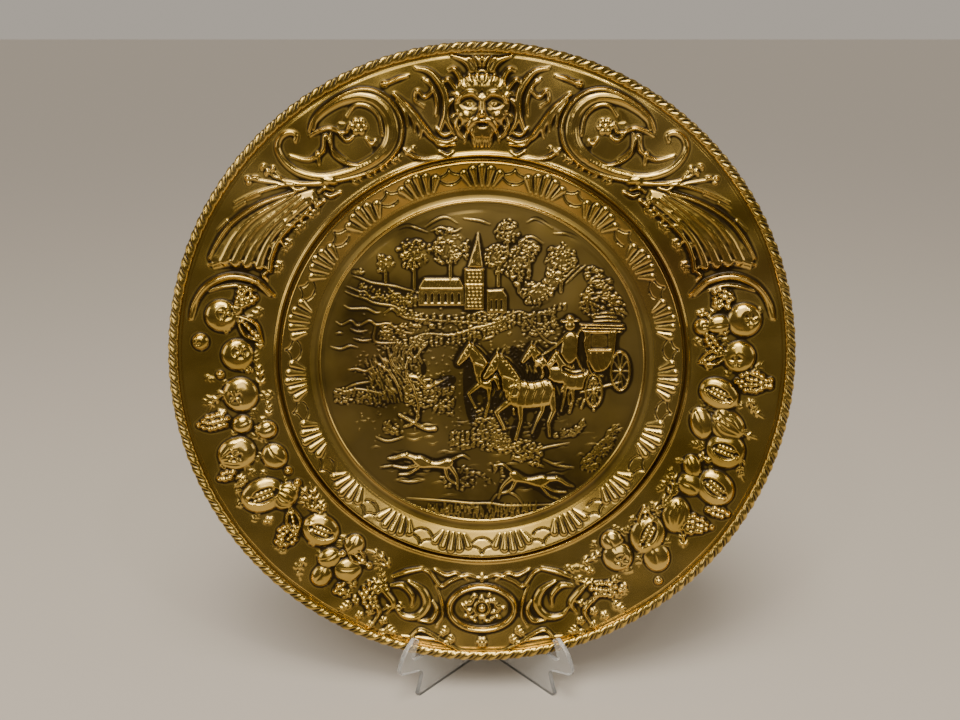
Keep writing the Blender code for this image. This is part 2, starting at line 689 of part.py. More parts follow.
# The bead rests on both panels and its crest stands just behind the prongs
prong_distance = prong_reach * math.sin(spread)
side_shift = 2 * (abs(easel_offset) + panel_thickness)
crest_level = rest_height + bead_width / 2 + prong_distance * side_shift / plate_radius
prong_at_crest = prong_reach - (crest_level - rest_height) * math.tan(prong_lean)
crest_front = -prong_at_crest * math.cos(spread) + panel_thickness / 2 * math.sin(spread)
rest_distance = prong_at_crest * math.sin(spread) - bead_half_height * math.tan(spread)
plate_level = rest_height + clearance - rest_level(rest_distance)
crest_height = bead_center_height + bead_half_height
rest_share = math.sqrt(1 - (rest_distance / plate_radius) ** 2)
crest_drop = bead_center_radius * rest_share * math.sin(lean)
plate_back = crest_front + 2 * clearance + crest_drop + crest_height * math.cos(lean)


def backrest_line(height):
    """Distance from the hinge line to the edge that the plate's back leans on."""
    along = (height - plate_level) / math.cos(lean)
    back = plate_back + along * math.sin(lean) + (sheet + clearance) / math.cos(lean)
    return -(back + panel_thickness / 2 * math.sin(spread)) / math.cos(spread)


outline = panel_outline(backrest_line)
easel = [
    make_panel("easel_panel_left", -1, outline, clear_plastic),
    make_panel("easel_panel_right", 1, outline, clear_plastic),
    make_post(clear_plastic),
]
plate.rotation_euler = (math.pi / 2 - lean, 0, 0)

# Everything stands centred over the origin
front = -(arm_reach + prong_tip / 3) * math.cos(spread) - panel_thickness / 2 * math.sin(spread)
bead_back = bead_center_height - bead_half_height
top_back = plate_back + plate_radius * math.sin(lean) - bead_back * math.cos(lean)
middle = (front + max(top_back, post_radius)) / 2
plate.location = (0, plate_back - middle, plate_level)
for thing in easel:
    thing.location = (easel_offset, -middle, 0)
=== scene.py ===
import math

import bpy
import numpy as np
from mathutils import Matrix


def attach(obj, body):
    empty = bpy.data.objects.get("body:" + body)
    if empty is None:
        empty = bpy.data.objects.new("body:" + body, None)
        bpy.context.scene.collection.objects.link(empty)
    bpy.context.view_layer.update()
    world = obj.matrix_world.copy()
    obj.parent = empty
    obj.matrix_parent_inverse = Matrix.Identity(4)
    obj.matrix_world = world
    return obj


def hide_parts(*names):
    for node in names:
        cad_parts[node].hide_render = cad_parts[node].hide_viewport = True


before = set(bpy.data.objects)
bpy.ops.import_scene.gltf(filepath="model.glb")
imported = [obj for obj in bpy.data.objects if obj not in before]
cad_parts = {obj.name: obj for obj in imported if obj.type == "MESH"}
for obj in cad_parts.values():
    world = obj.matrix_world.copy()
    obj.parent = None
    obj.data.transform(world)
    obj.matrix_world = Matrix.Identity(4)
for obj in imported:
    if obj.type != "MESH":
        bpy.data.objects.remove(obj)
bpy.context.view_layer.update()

# The back of the plate
# The plate is one disc of thin brass sheet, turned and pressed in a die, and this is its hidden
# side, plainly turned, with the deep groove as a raised ring. Lengths are in millimetres: u to
# the right, v up the plate and height out of its front.
mm = 0.001
lean = math.radians(8.0)
plate_center_y = 23.8
plate_center_z = 338.67
back_spokes = 280
sheet_thickness = 0.9
back_clearance = 0.4
back_recess = 0.25


def moulding(radius):
    """Height of the plain turned plate, from a list of radii and heights with soft corners."""
    rings = (
        (0.0, 5.0), (157.3, 5.0), (158.2, 6.8), (158.7, 6.8), (159.7, 4.4), (164.0, 3.5),
        (169.0, 4.3), (170.5, 5.2), (193.0, 12.0), (194.6, 12.2), (196.0, 9.0), (197.2, 0.8),
        (198.8, 0.5), (200.0, 4.6), (201.6, 5.2), (203.4, 3.6), (205.0, 3.2), (290.6, 12.7),
        (291.4, 12.1), (294.0, 12.5),
    )
    fine_step, reach, softness = 0.1, 15, 5.0
    edges = np.arange(0.0, 320.0, fine_step)
    heights = np.interp(edges, [r for r, h in rings], [h for r, h in rings])
    blur = np.exp(-(np.arange(-reach, reach + 1) / softness) ** 2 / 2)
    smooth = np.convolve(np.pad(heights, reach, mode="edge"), blur / blur.sum(), mode="valid")
    return np.interp(radius, edges, smooth)


def on_plate(u, v, height):
    """World points, in metres, of points of the leaning plate."""
    y = plate_center_y + v * math.sin(lean) - height * math.cos(lean)
    z = plate_center_z + v * math.cos(lean) + height * math.sin(lean)
    return np.stack((u, y, z), axis=-1) * mm


class Wire:
    """A shader socket that Python's operators work on."""

    def __init__(self, tree, socket=None):
        self.tree = tree
        self.socket = socket

    def node(self, kind, settings=None, inputs=None, output=0):
        """Any node: its type, its settings, the values or wires of its sockets."""
        made = self.tree.nodes.new(kind)
        for name, value in (settings or {}).items():
            setattr(made, name, value)
        for name, value in (inputs or {}).items():
            if isinstance(value, Wire):
                self.tree.links.new(value.socket, made.inputs[name])
            else:
                made.inputs[name].default_value = value
        return Wire(self.tree, made.outputs[output])

    def math(self, operation, first, second):
        return self.node("ShaderNodeMath", {"operation": operation}, {0: first, 1: second})

    def __add__(self, other):
        return self.math("ADD", self, other)

    def __radd__(self, other):
        return self.math("ADD", other, self)

    def __mul__(self, other):
        return self.math("MULTIPLY", self, other)

    def __rmul__(self, other):
        return self.math("MULTIPLY", other, self)

    def between(self, low, high):
        """0 below low, 1 above high and a straight rise in between."""
        return self.node("ShaderNodeMapRange", {"clamp": True},
                         {"Value": self, "From Min": low, "From Max": high})

    def mix(self, first, second):
        """Color mixed from first to second by this wire."""
        return self.node("ShaderNodeMix", {"data_type": "RGBA"}, {0: self, 6: first, 7: second}, 2)


def shader_of(name):
    """New material and its shader, with a wire to start from."""
    material = bpy.data.materials.new(name)
    material.use_nodes = True
    return material, material.node_tree.nodes["Principled BSDF"], Wire(material.node_tree)


def make_brass():
    """Aged, polished brass: bright where it is rubbed, and darker and rougher down in the ornament, where
    patina and painted shade take its colour nearly to black.
    """
    rubbed = (0.70, 0.485, 0.14, 1)
    mellow = (0.48, 0.315, 0.05, 1)
    coppery = (0.40, 0.20, 0.065, 1)
    shade_and_patina_color = (0.035, 0.023, 0.008, 1)
    material, shader, wire = shader_of("aged_brass")
    place = wire.node("ShaderNodeTexCoord", output=3)
    recess = wire.node("ShaderNodeAttribute", {"attribute_name": "recess"}, output=2)
    cloud = wire.node("ShaderNodeTexNoise", {}, {"Vector": place, "Scale": 11.0, "Detail": 5.0})
    speck = wire.node("ShaderNodeTexNoise", {}, {"Vector": place, "Scale": 420.0, "Detail": 3.0})
    long_way = wire.node("ShaderNodeMapping", {}, {"Vector": place, "Scale": (90.0, 90.0, 900.0)})
    hairline = wire.node("ShaderNodeTexNoise", {}, {"Vector": long_way, "Scale": 1.0})
    # Painted shade with patina: the colour goes nearly black in the relief's hollows, by the attribute read
    # above.
    shade_and_patina_share = (recess + 0.25 * cloud.between(0.5, 0.75)).between(0.0, 1.0)
    stain = wire.node("ShaderNodeTexNoise", {}, {"Vector": place, "Scale": 6.0, "Detail": 4.0})
    sheet_color = cloud.between(0.35, 0.65).mix(rubbed, mellow)
    sheet_color = (0.55 * stain.between(0.56, 0.72)).mix(sheet_color, coppery)
    color = shade_and_patina_share.mix(sheet_color, shade_and_patina_color)
    rough = 0.12 + 0.08 * cloud + 0.36 * recess + 0.05 * speck
    bump = wire.node("ShaderNodeBump", {}, {"Strength": 0.05, "Distance": 0.0002,
                                            "Height": 0.6 * speck + 0.4 * hairline})
    tree = material.node_tree
    shader.inputs["Metallic"].default_value = 1.0
    shader.inputs["Coat Weight"].default_value = 0.25
    shader.inputs["Coat Roughness"].default_value = 0.08
    tree.links.new(color.socket, shader.inputs["Base Color"])
    tree.links.new(rough.socket, shader.inputs["Roughness"])
    tree.links.new(bump.socket, shader.inputs["Normal"])
    return material


brass = make_brass()


def make_sheet(name, points, slopes, recess, faces):
    """Piece of the plate, with its normals from the relief, so that pieces join unseen."""
    mesh = bpy.data.meshes.new(name)
    mesh.vertices.add(len(points))
    mesh.vertices.foreach_set("co", points.astype(np.float32).ravel())
    mesh.loops.add(faces.size)
    mesh.loops.foreach_set("vertex_index", faces.astype(np.int32).ravel())
    mesh.polygons.add(len(faces))
    mesh.polygons.foreach_set("loop_start", np.arange(len(faces), dtype=np.int32) * 3)
    mesh.update(calc_edges=True)
    mesh.shade_smooth()
    if slopes is not None:
        du, dv = slopes
        out = on_plate(-du, -dv, 1.0) - on_plate(0.0, 0.0, 0.0)
        out /= np.linalg.norm(out, axis=1)[:, None]
        mesh.normals_split_custom_set_from_vertices(out.astype(np.float32))
    # The share of patina and painted shade at each point, which the brass reads.
    dark = mesh.attributes.new("recess", "FLOAT", "POINT")
    dark.data.foreach_set("value", recess.astype(np.float32))
    mesh.materials.append(brass)
    piece = bpy.data.objects.new(name, mesh)
    bpy.context.scene.collection.objects.link(piece)
    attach(piece, "root")
    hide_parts("plate")
    return piece


def ring_faces(rows, columns, closed):
    """Triangles of a net of points, inner row first and clockwise along each row."""
    number = np.arange(rows * columns).reshape(rows, columns)
    if closed:
        number = np.concatenate((number, number[:, :1]), axis=1)
    a, b = number[:-1, :-1].ravel(), number[:-1, 1:].ravel()
    c, d = number[1:, 1:].ravel(), number[1:, :-1].ravel()
    return np.concatenate((np.stack((a, b, c), axis=1), np.stack((a, c, d), axis=1)))




def ring_points(clocks, radii):
    """Places of a net of rings, u and v as flat lists, inner ring first."""
    clock_net, radius_net = np.meshgrid(clocks, radii)
    return (radius_net * np.sin(clock_net)).ravel(), (radius_net * np.cos(clock_net)).ravel()


back_radii = np.concatenate((np.arange(2.0, 150, 10), np.arange(150, 296, 2.0), [296.5]))
u, v = ring_points(2 * math.pi * np.arange(back_spokes) / back_spokes, back_radii)
level = moulding(np.repeat(back_radii, back_spokes)) - sheet_thickness - back_clearance
back_points = on_plate(u, v, level)
hub = on_plate(np.zeros(1), np.zeros(1), level[:1])
faces = ring_faces(len(back_radii), back_spokes, True)[:, ::-1]
around = np.arange(back_spokes)
cap = np.stack((np.full(back_spokes, len(back_points)), around, np.roll(around, -1)), axis=1)
make_sheet("back", np.concatenate((back_points, hub)), None,
           np.full(len(back_points) + 1, back_recess), np.concatenate((faces, cap)))

# The rope rim
# The sheet's edge, rolled over and knurled into a rope of slanting strands, each of them a
# broad ridge with a thin one beside it.
plate_radius = 303.6
spokes = 1904
strands = 136
strand_depth = 2.1
bead_half_width = 5.0
bead_half_height = 4.0
bead_half_drop = 3.2
bead_center_height = 14.0
bead_center_radius = plate_radius - bead_half_width
section_points = 22
section_start, section_end = 212, -150
strand_slant = 1.75
clocks = 2 * math.pi * np.arange(spokes) / spokes
section = np.radians(np.linspace(section_start, section_end, section_points))
rows = []
painted_slit_shade = []
for number, turn in enumerate(section):
    share = number / (section_points - 1)
    shift = strands * clocks / (2 * math.pi) - strand_slant * share ** 0.75
    wave = shift - np.floor(shift)
    broad = np.sqrt(np.clip(1 - ((wave - 0.34) / 0.31) ** 2, 0, 1))
    thin = 0.75 * np.sqrt(np.clip(1 - ((wave - 0.80) / 0.12) ** 2, 0, 1))
    notch = (1 - np.maximum(broad, thin)) * min(max(share - 0.15, 0.0) * 5, 1.0)
    line = np.clip(1 - np.abs(wave - 0.5) / 0.09, 0, 1) * 0.3
    sunk = strand_depth * np.maximum(notch, line) * (0 < share < 0.9)
    radius = bead_center_radius + (bead_half_width - sunk) * math.cos(turn)
    half_height = bead_half_height if turn > 0 else bead_half_drop
    height = bead_center_height + (half_height - sunk) * math.sin(turn)
    rows.append(on_plate(radius * np.sin(clocks), radius * np.cos(clocks), height))
    # Painted shade: the slits between the strands are darkened in colour.
    painted_slit_shade.append(np.clip(sunk / strand_depth * 1.7 - 0.1, 0, 1))
make_sheet("rope_rim", np.concatenate(rows), None, np.concatenate(painted_slit_shade),
           ring_faces(section_points, spokes, True))

# The border
# Pressed in the broad slope of the sheet: a mask at the top between two large scrolls, two
# horns of plenty that spill garlands of fruit down both sides, and an oval medallion at the foot.
band_radius = 201.0
border_radius = 294.8
rings = 104
fruit_rise = 6.4
scroll_rise = 4.2
leaf_rise = 3.0
chance = np.random.default_rng(24)


def blurred(grid, reach):
    """Grid blurred three times over by a box, which comes close to a bell curve."""
    half = max(1, round(reach))
    size = 2 * half + 1
    for axis in (0, 1, 0, 1, 0, 1):
        pad = [(0, 0), (0, 0)]
        pad[axis] = (half + 1, half)
        sums = np.cumsum(np.pad(grid, pad, mode="edge"), axis=axis)
        grid = (np.take(sums, range(size, sums.shape[axis]), axis=axis)
                - np.take(sums, range(0, sums.shape[axis] - size), axis=axis)) / size
    return grid


class Relief:
    """Heights pressed into a square of the sheet, one motif after another."""

    def __init__(self, half, step):
        count = math.ceil(half / step)
        self.step = step
        self.axis = np.arange(-count, count + 1) * step
        self.height = np.zeros((len(self.axis), len(self.axis)))

    def window(self, low, high):
        """Rows, columns and coordinates of the part of the square inside a box."""
        start = np.searchsorted(self.axis, low)
        stop = np.searchsorted(self.axis, high)
        rows, columns = slice(start[1], stop[1]), slice(start[0], stop[0])
        u, v = np.meshgrid(self.axis[columns], self.axis[rows])
        return (rows, columns), u, v

    def press(self, where, bump, mode):
        """Raises the sheet to the bump, adds the bump to it or cuts it in."""
        if mode == "to":
            self.height[where] = np.maximum(self.height[where], bump)
        elif mode == "on":
            self.height[where] += bump
        else:
            self.height[where] -= bump

    def dome(self, center, wide, long, height, turn=0.0, mode="to", power=0.6):
        """Rounded boss, turned clockwise by degrees."""
        center = np.asarray(center, dtype=float).ravel()
        reach = max(wide, long)
        where, u, v = self.window(center - reach, center + reach)
        angle = math.radians(turn)
        x = (u - center[0]) * math.cos(angle) - (v - center[1]) * math.sin(angle)
        y = (u - center[0]) * math.sin(angle) + (v - center[1]) * math.cos(angle)
        bump = height * np.clip(1 - (x / wide) ** 2 - (y / long) ** 2, 0, 1) ** power
        self.press(where, bump, mode)

    def stroke(self, path, widths, height, mode="to", power=0.9, fade=0.45, ribs=1):
        """Rounded stroke along a path, with half widths spread along it, plain or ribbed."""
        pts = np.asarray(path, dtype=float)
        share = np.linspace(0, 1, len(pts))
        half = np.interp(share, np.linspace(0, 1, len(widths)), widths)
        reach = half.max()
        where, u, v = self.window(pts.min(axis=0) - reach, pts.max(axis=0) + reach)
        bump = np.zeros_like(u)
        origin = np.array((u[0, 0], v[0, 0])) if u.size else np.zeros(2)
        for a, b, wa, wb in zip(pts, pts[1:], half, half[1:]):
            near = max(wa, wb)
            low = np.floor((np.minimum(a, b) - near - origin) / self.step).astype(int)
            high = np.ceil((np.maximum(a, b) + near - origin) / self.step).astype(int) + 1
            box = (slice(max(low[1], 0), max(high[1], 0)), slice(max(low[0], 0), max(high[0], 0)))
            x, y = u[box], v[box]
            if x.size == 0:
                continue
            run = b - a
            t = np.clip(((x - a[0]) * run[0] + (y - a[1]) * run[1]) / max(run @ run, 1e-9), 0, 1)
            far = np.hypot(x - a[0] - t * run[0], y - a[1] - t * run[1])
            width = np.maximum(wa + t * (wb - wa), 1e-3)
            level = height * (fade + (1 - fade) * width / reach)
            rise = level * np.clip(1 - (far / width) ** 2, 0, 1) ** power
            if ribs > 1:
                left = np.sign((x - a[0]) * run[1] - (y - a[1]) * run[0])
                across = (left * np.clip(far / width, 0, 1) + 1) / 2 * ribs
                rise *= 0.5 + 0.5 * np.sqrt(np.abs(np.sin(math.pi * across)))
            bump[box] = np.maximum(bump[box], rise)
        self.press(where, bump, mode)

    def lines(self, place, rows, height, **shape):
        """Smooth strokes, each given by its points and its half widths."""
        for points, widths in rows:
            self.stroke(place(curve(points)), widths, height, **shape)

    def fill(self, outline, height, edge, mode="to"):
        """Raised area inside a closed outline, rounded over a width at its edge."""
        pts = np.asarray(outline, dtype=float)
        where, u, v = self.window(pts.min(axis=0), pts.max(axis=0))
        inside = np.zeros(u.shape, dtype=bool)
        far = np.full(u.shape, 1e9)
        for a, b in zip(pts, np.roll(pts, -1, axis=0)):
            run = b - a
            t = np.clip(((u - a[0]) * run[0] + (v - a[1]) * run[1]) / max(run @ run, 1e-9), 0, 1)
            far = np.minimum(far, np.hypot(u - a[0] - t * run[0], v - a[1] - t * run[1]))
            if abs(run[1]) > 1e-9:
                crosses = (a[1] > v) != (b[1] > v)
                inside ^= crosses & (u < a[0] + (v - a[1]) * run[0] / run[1])
        rounded = np.sqrt(1 - (1 - np.clip(far / edge, 0, 1)) ** 2)
        self.press(where, np.where(inside, height * rounded, 0), mode)

    def lay(self, other, halo):
        """Lays another relief over this one, with the sheet flattened round its figures."""
        there = blurred((other.height > 0.02).astype(float), halo / self.step)
        self.height *= 1 - np.clip(there * 2.2, 0, 1)
        self.height += other.height

    def at(self, u, v, grid=None):
        """Value of the relief, or of a like grid, between its points."""
        h = self.height if grid is None else grid
        x = np.clip((u - self.axis[0]) / self.step, 0, len(self.axis) - 1.001)
        y = np.clip((v - self.axis[0]) / self.step, 0, len(self.axis) - 1.001)
        i, j = x.astype(int), y.astype(int)
        p, q = x - i, y - j
        return ((1 - q) * ((1 - p) * h[j, i] + p * h[j, i + 1])
                + q * ((1 - p) * h[j + 1, i] + p * h[j + 1, i + 1]))


def polar(clock, radius):
    """Point at a clock angle in degrees, clockwise from the top."""
    angle = math.radians(clock)
    return np.array((radius * math.sin(angle), radius * math.cos(angle)))


def motif(clock, radius, scale=1.0, mirror=1, turn=0.0):
    """Placing function of a motif that is drawn with x clockwise and y outwards."""
    angle = math.radians(clock + turn)
    across = np.array((math.cos(angle), -math.sin(angle)))
    outward = np.array((math.sin(angle), math.cos(angle)))
    center = polar(clock, radius)

    def place(points):
        drawn = np.atleast_2d(np.array(points, dtype=float)) * (mirror * scale, scale)
        return center + drawn[:, :1] * across + drawn[:, 1:] * outward
    return place


def curve(points, steps=6):
    """Smooth path through the points."""
    pts = [np.array(p, dtype=float) for p in points]
    pts = [2 * pts[0] - pts[1]] + pts + [2 * pts[-1] - pts[-2]]
    path = []
    for a, b, c, d in zip(pts, pts[1:], pts[2:], pts[3:]):
        for t in np.linspace(0, 1, steps, endpoint=False):
            path.append(0.5 * (2 * b + (c - a) * t + (2 * a - 5 * b + 4 * c - d) * t ** 2
                               + (3 * b - a - 3 * c + d) * t ** 3))
    path.append(pts[-2])
    return np.array(path)


def spiral(center, start, end, first, last, steps=24):
    """Arc whose radius runs from start to end while its angle runs in degrees."""
    angles = np.radians(np.linspace(first, last, steps))
    radii = np.linspace(start, end, steps)
    return np.array(center) + np.stack((radii * np.cos(angles), radii * np.sin(angles)), axis=-1)


def mirrored(side, wide=1.0, tall=1.0):
    """Placing function of a motif given by its places on the right half of the plate."""
    def place(points):
        return np.atleast_2d(np.array(points, dtype=float)) * (side * wide, tall)
    return place


border = Relief(border_radius + 2, 0.5)


def leaf(place, points, wide, height=leaf_rise, lobes=4):
    """Leaf along a line: a midrib with rounded lobes that point forwards on both sides."""
    spine = curve(points, 8)
    for number in range(lobes):
        at = round((0.1 + 0.65 * number / max(lobes - 1, 1)) * (len(spine) - 4))
        run = (spine[at + 3] - spine[at]) / max(np.linalg.norm(spine[at + 3] - spine[at]), 1e-6)
        size = wide * (1.0 - 0.45 * number / lobes)
        for side in (-1, 1):
            out = np.array((-run[1], run[0])) * side
            bend = spine[at] + size * (0.35 * run + 0.65 * out)
            tip = spine[at] + size * (1.05 * run + 0.95 * out)
            border.stroke(place(curve([spine[at], bend, tip], 4)), (size * 0.2, size * 0.3, size * 0.1),
                          height * 0.85)
    border.stroke(place(spine), (wide * 0.2, wide * 0.28, wide * 0.2, wide * 0.08), height)
    border.stroke(place(spine), (0.3, 0.4, 0.3), 0.7, mode="cut")


def flower(place, center, radius, petals, height):
    """Round flower: petals about a boss."""
    for number in range(petals):
        angle = 2 * math.pi * number / petals
        spot = (center[0] + 0.62 * radius * math.cos(angle),
                center[1] + 0.62 * radius * math.sin(angle))
        border.dome(place([spot])[0], radius * 0.36, radius * 0.36, height, power=0.6)
    border.dome(place([center])[0], radius * 0.3, radius * 0.3, height * 1.3)


def mask():
    """Grotesque mask of no one in particular, with leafy horns, moustache and beard."""
    place = motif(0, 244, 0.92)
    half = [(0, 33), (16, 31), (27, 20), (29, 4), (24, -11), (15, -24), (7, -32)]
    face = half + [(0, -34)] + [(-x, y) for x, y in half[:0:-1]] + [(0, 33)]
    border.fill(place(curve(face, 4)), 4.4, 11)
    border.stroke(place([(0, 12), (0, 0), (0, -6)]), (2.2, 3.0, 4.6), 3.6, mode="on")
    border.dome(place([(0, -7)])[0], 4.4, 3.4, 1.6, mode="on")
    border.stroke(place([(0, 25), (0, 10)]), (0.6, 1.0), 1.3, mode="cut")
    for side in (-1, 1):
        flip = motif(0, 244, 0.92, side)
        border.dome(flip([(9, 20)])[0], 10, 7, 1.4, mode="on")
        border.dome(flip([(13, 4)])[0], 9, 5.5, 2.4, mode="cut")
        border.stroke(flip(curve([(3, 9), (9, 13.5), (18, 12.5), (25, 6)])), (2.0, 3.4, 1.6),
                      3.4, mode="on", ribs=2)
        border.dome(flip([(12.5, 3.2)])[0], 4.4, 2.8, 2.0, mode="on")
        border.dome(flip([(12.5, 3.2)])[0], 1.3, 1.3, 1.0, mode="cut")
        for line in (((6, 3.4), (12, 7.4), (20, 3.6)), ((6.5, 2.6), (13, -1.4), (21, 2.0))):
            border.stroke(flip(curve(line)), (0.7, 1.1, 0.6), 1.5, mode="on")
        border.dome(flip([(17, -9)])[0], 6.5, 5, 1.8, mode="on")
        border.dome(flip([(4.2, -8.4)])[0], 2.6, 2.1, 1.5, mode="on")
        border.stroke(flip(curve([(1, -13), (8, -13), (14, -20), (18, -34)])), (1.8, 3.6, 2.6, 0.7),
                      3.4, mode="on", ribs=2)
        border.stroke(flip(curve([(8, -18), (10, -26), (9, -36)])), (1.2, 2.2, 0.7), 2.2, mode="on")
        for line in (((3, 25), (5, 31), (2, 38)), ((10, 24), (13, 30), (12, 38)),
                     ((18, 19), (22, 26), (22, 35)), ((22, 10), (29, 14), (33, 10)),
                     ((20, -14), (24, -24), (17, -31)), ((24, -4), (30, -10), (27, -18))):
            border.stroke(flip(curve(line)), (1.3, 2.7, 0.9), 2.0, mode="on", ribs=2)
        for number in range(3):
            lock = curve([(1 + 2.4 * number, -20), (2 + 2.4 * number, -28), (1 + 3.2 * number, -38)])
            border.stroke(flip(lock), (1.0, 1.9, 0.6), 4.6)
        border.lines(flip, (
            (((10, 36), (16, 45), (31, 51)), (3.0, 3.4, 1.0)),
            (((5, 35), (8, 44), (14, 48), (17, 44)), (1.6, 2.2, 1.0)),
            (((1, 36), (3, 45), (7, 50)), (1.2, 1.8, 0.8)),
            (((21, 28), (27, 37), (34, 36)), (2.4, 2.6, 0.8)),
            (((27, 19), (34, 27), (41, 24)), (2.2, 2.4, 0.8)),
            (((30, 8), (36, 0), (35, -14), (28, -26)), (1.8, 3.2, 2.6, 0.9)),
            (((25, -10), (26, -20), (19, -29)), (1.6, 2.4, 0.8)),
        ), 3.8, ribs=2)
    border.dome(place([(0, -17)])[0], 5.0, 2.2, 2.6, mode="cut")
    border.dome(place([(0, 38)])[0], 5.5, 2.2, 2.4, mode="cut")
    border.dome(place([(0, 48)])[0], 2.6, 2.6, 2.6)


def great_scroll(side):
    """Fluted scroll wound round a bowl with a flower, with a volute, a collar and leaves."""
    place = mirrored(side, 0.97, 0.957)
    body = curve([(162, 234), (160, 243), (150, 253), (134, 262), (116, 265), (101, 261), (90, 250),
                  (86, 235), (89, 220), (99, 208), (116, 198), (136, 191), (158, 188), (178, 193),
                  (191, 203), (197, 216), (194, 226), (186, 231), (179, 229), (180, 223)], 6)
    border.stroke(place(body), (1.6, 4.0, 5.4, 6.4, 8.0, 8.4, 7.2, 5.4, 4.0, 3.4, 3.0, 2.6, 2.2, 1.6),
                  scroll_rise, ribs=5)
    edge = curve([(166, 232), (163, 242), (155, 252), (137, 265), (116, 272), (97, 268), (83, 255),
                  (77, 237), (80, 219), (92, 204), (110, 193), (134, 186), (150, 184)], 6)
    border.stroke(place(edge), (0.9, 1.5, 1.7, 1.7, 1.4, 0.9), scroll_rise * 1.1)
    border.dome(place([(121, 229)])[0], 23, 25, 1.5, mode="cut", power=0.8)
    border.stroke(place(curve([(130, 247), (122, 257), (109, 256), (99, 246), (96, 229)])),
                  (0.8, 1.7, 1.2), 3.4)
    border.stroke(place(curve([(146, 230), (145, 213), (136, 204), (123, 200), (108, 205)])),
                  (1.4, 1.4, 0.7), 3.6)
    flower(place, (119, 237), 8.5, 6, 2.6)
    border.lines(place, (
        (((136, 231), (146, 235), (156, 233), (166, 228)), (1.0, 2.0, 1.4, 0.7)),
        (((152, 228), (154, 214), (168, 205), (186, 209)), (1.8, 2.4, 1.7, 0.7)),
        (((159, 211), (158, 201)), (2.4, 1.0)), (((138, 231), (131, 224), (124, 228)), (1.4, 1.6, 0.8)),
        (((150, 229), (144, 214), (132, 205)), (1.2, 1.8, 0.8)),
        (((112, 226), (107, 220), (103, 224)), (1.0, 1.6, 0.8)),
        (((127, 240), (131, 232), (137, 231)), (1.0, 1.2, 1.0)),
        (((70, 285), (80, 282), (92, 277)), (0.8, 1.9, 1.4)),
        (((56, 282), (47, 273), (55, 265), (62, 271), (64, 262), (56, 256)), (0.8, 1.5, 1.2, 0.8)),
        (((44, 236), (37, 229), (29, 232)), (1.0, 1.8, 0.8)),
        (((48, 226), (40, 219), (26, 221)), (0.8, 1.6, 0.8)),
        (((42, 214), (34, 210), (28, 213)), (0.8, 1.6, 0.8)),
        (((76, 216), (66, 208), (56, 206), (44, 208)), (0.8, 1.6, 1.2, 0.6)),
    ), leaf_rise + 0.5)
    border.stroke(place(curve([(84, 268), (69, 253), (56, 236), (47, 226), (35, 222), (25, 226)])),
                  (1.6, 3.6, 3.0, 2.0, 1.2), scroll_rise, ribs=2)
    for line in (((82, 262), (74, 250), (72, 238)), ((74, 254), (66, 244), (65, 233)),
                 ((66, 244), (59, 236), (60, 227))):
        border.stroke(place(curve(line)), (1.0, 2.6, 0.9), scroll_rise * 0.8, ribs=2)
    border.stroke(place(curve([(64, 292), (51, 289), (41, 279), (35, 266), (35, 250), (40, 235)])),
                  (1.0, 2.8, 4.0, 3.4, 1.6), scroll_rise, ribs=2)
    border.stroke(place(curve([(52, 281), (46, 272), (43, 260), (44, 248)])), (0.7, 1.8, 1.0), 3.2)
    border.dome(place([(93, 277)])[0], 3.4, 3.0, 3.6)
    border.dome(place([(149, 185)])[0], 9, 4.0, scroll_rise, turn=-side * 8)
    border.lines(place, (
        (((152, 183), (171, 182), (189, 182), (201, 194)), (1.6, 1.8, 1.4, 0.8)),
        (((160, 182), (186, 184), (203, 190), (210, 199)), (0.7, 0.9, 0.7)),
        (((150, 181), (188, 181), (205, 178), (225, 171), (241, 163)), (1.0, 1.2, 1.0, 0.6)),
        (((190, 181), (208, 184), (226, 187)), (0.6, 0.9, 0.8)),
    ), leaf_rise)
    for spot, wide, tall, turn in (((208, 193), 1.8, 4.0, -30), ((212, 198), 1.6, 3.4, -30),
                                   ((220, 188), 3.4, 1.6, 0), ((227, 187), 2.8, 2.2, 0),
                                   ((226, 183), 2.6, 1.6, 20), ((203, 196), 1.6, 3.4, -20)):
        border.dome(place([spot])[0], wide, tall, leaf_rise, turn=turn * side)
    for spot in ((100, 196), (88, 203), (74, 211), (112, 189), (126, 183)):
        leaf(place, (spot, (spot[0] - 5, spot[1] + 4), (spot[0] - 11, spot[1] + 5)), 3.4, 2.6, 2)


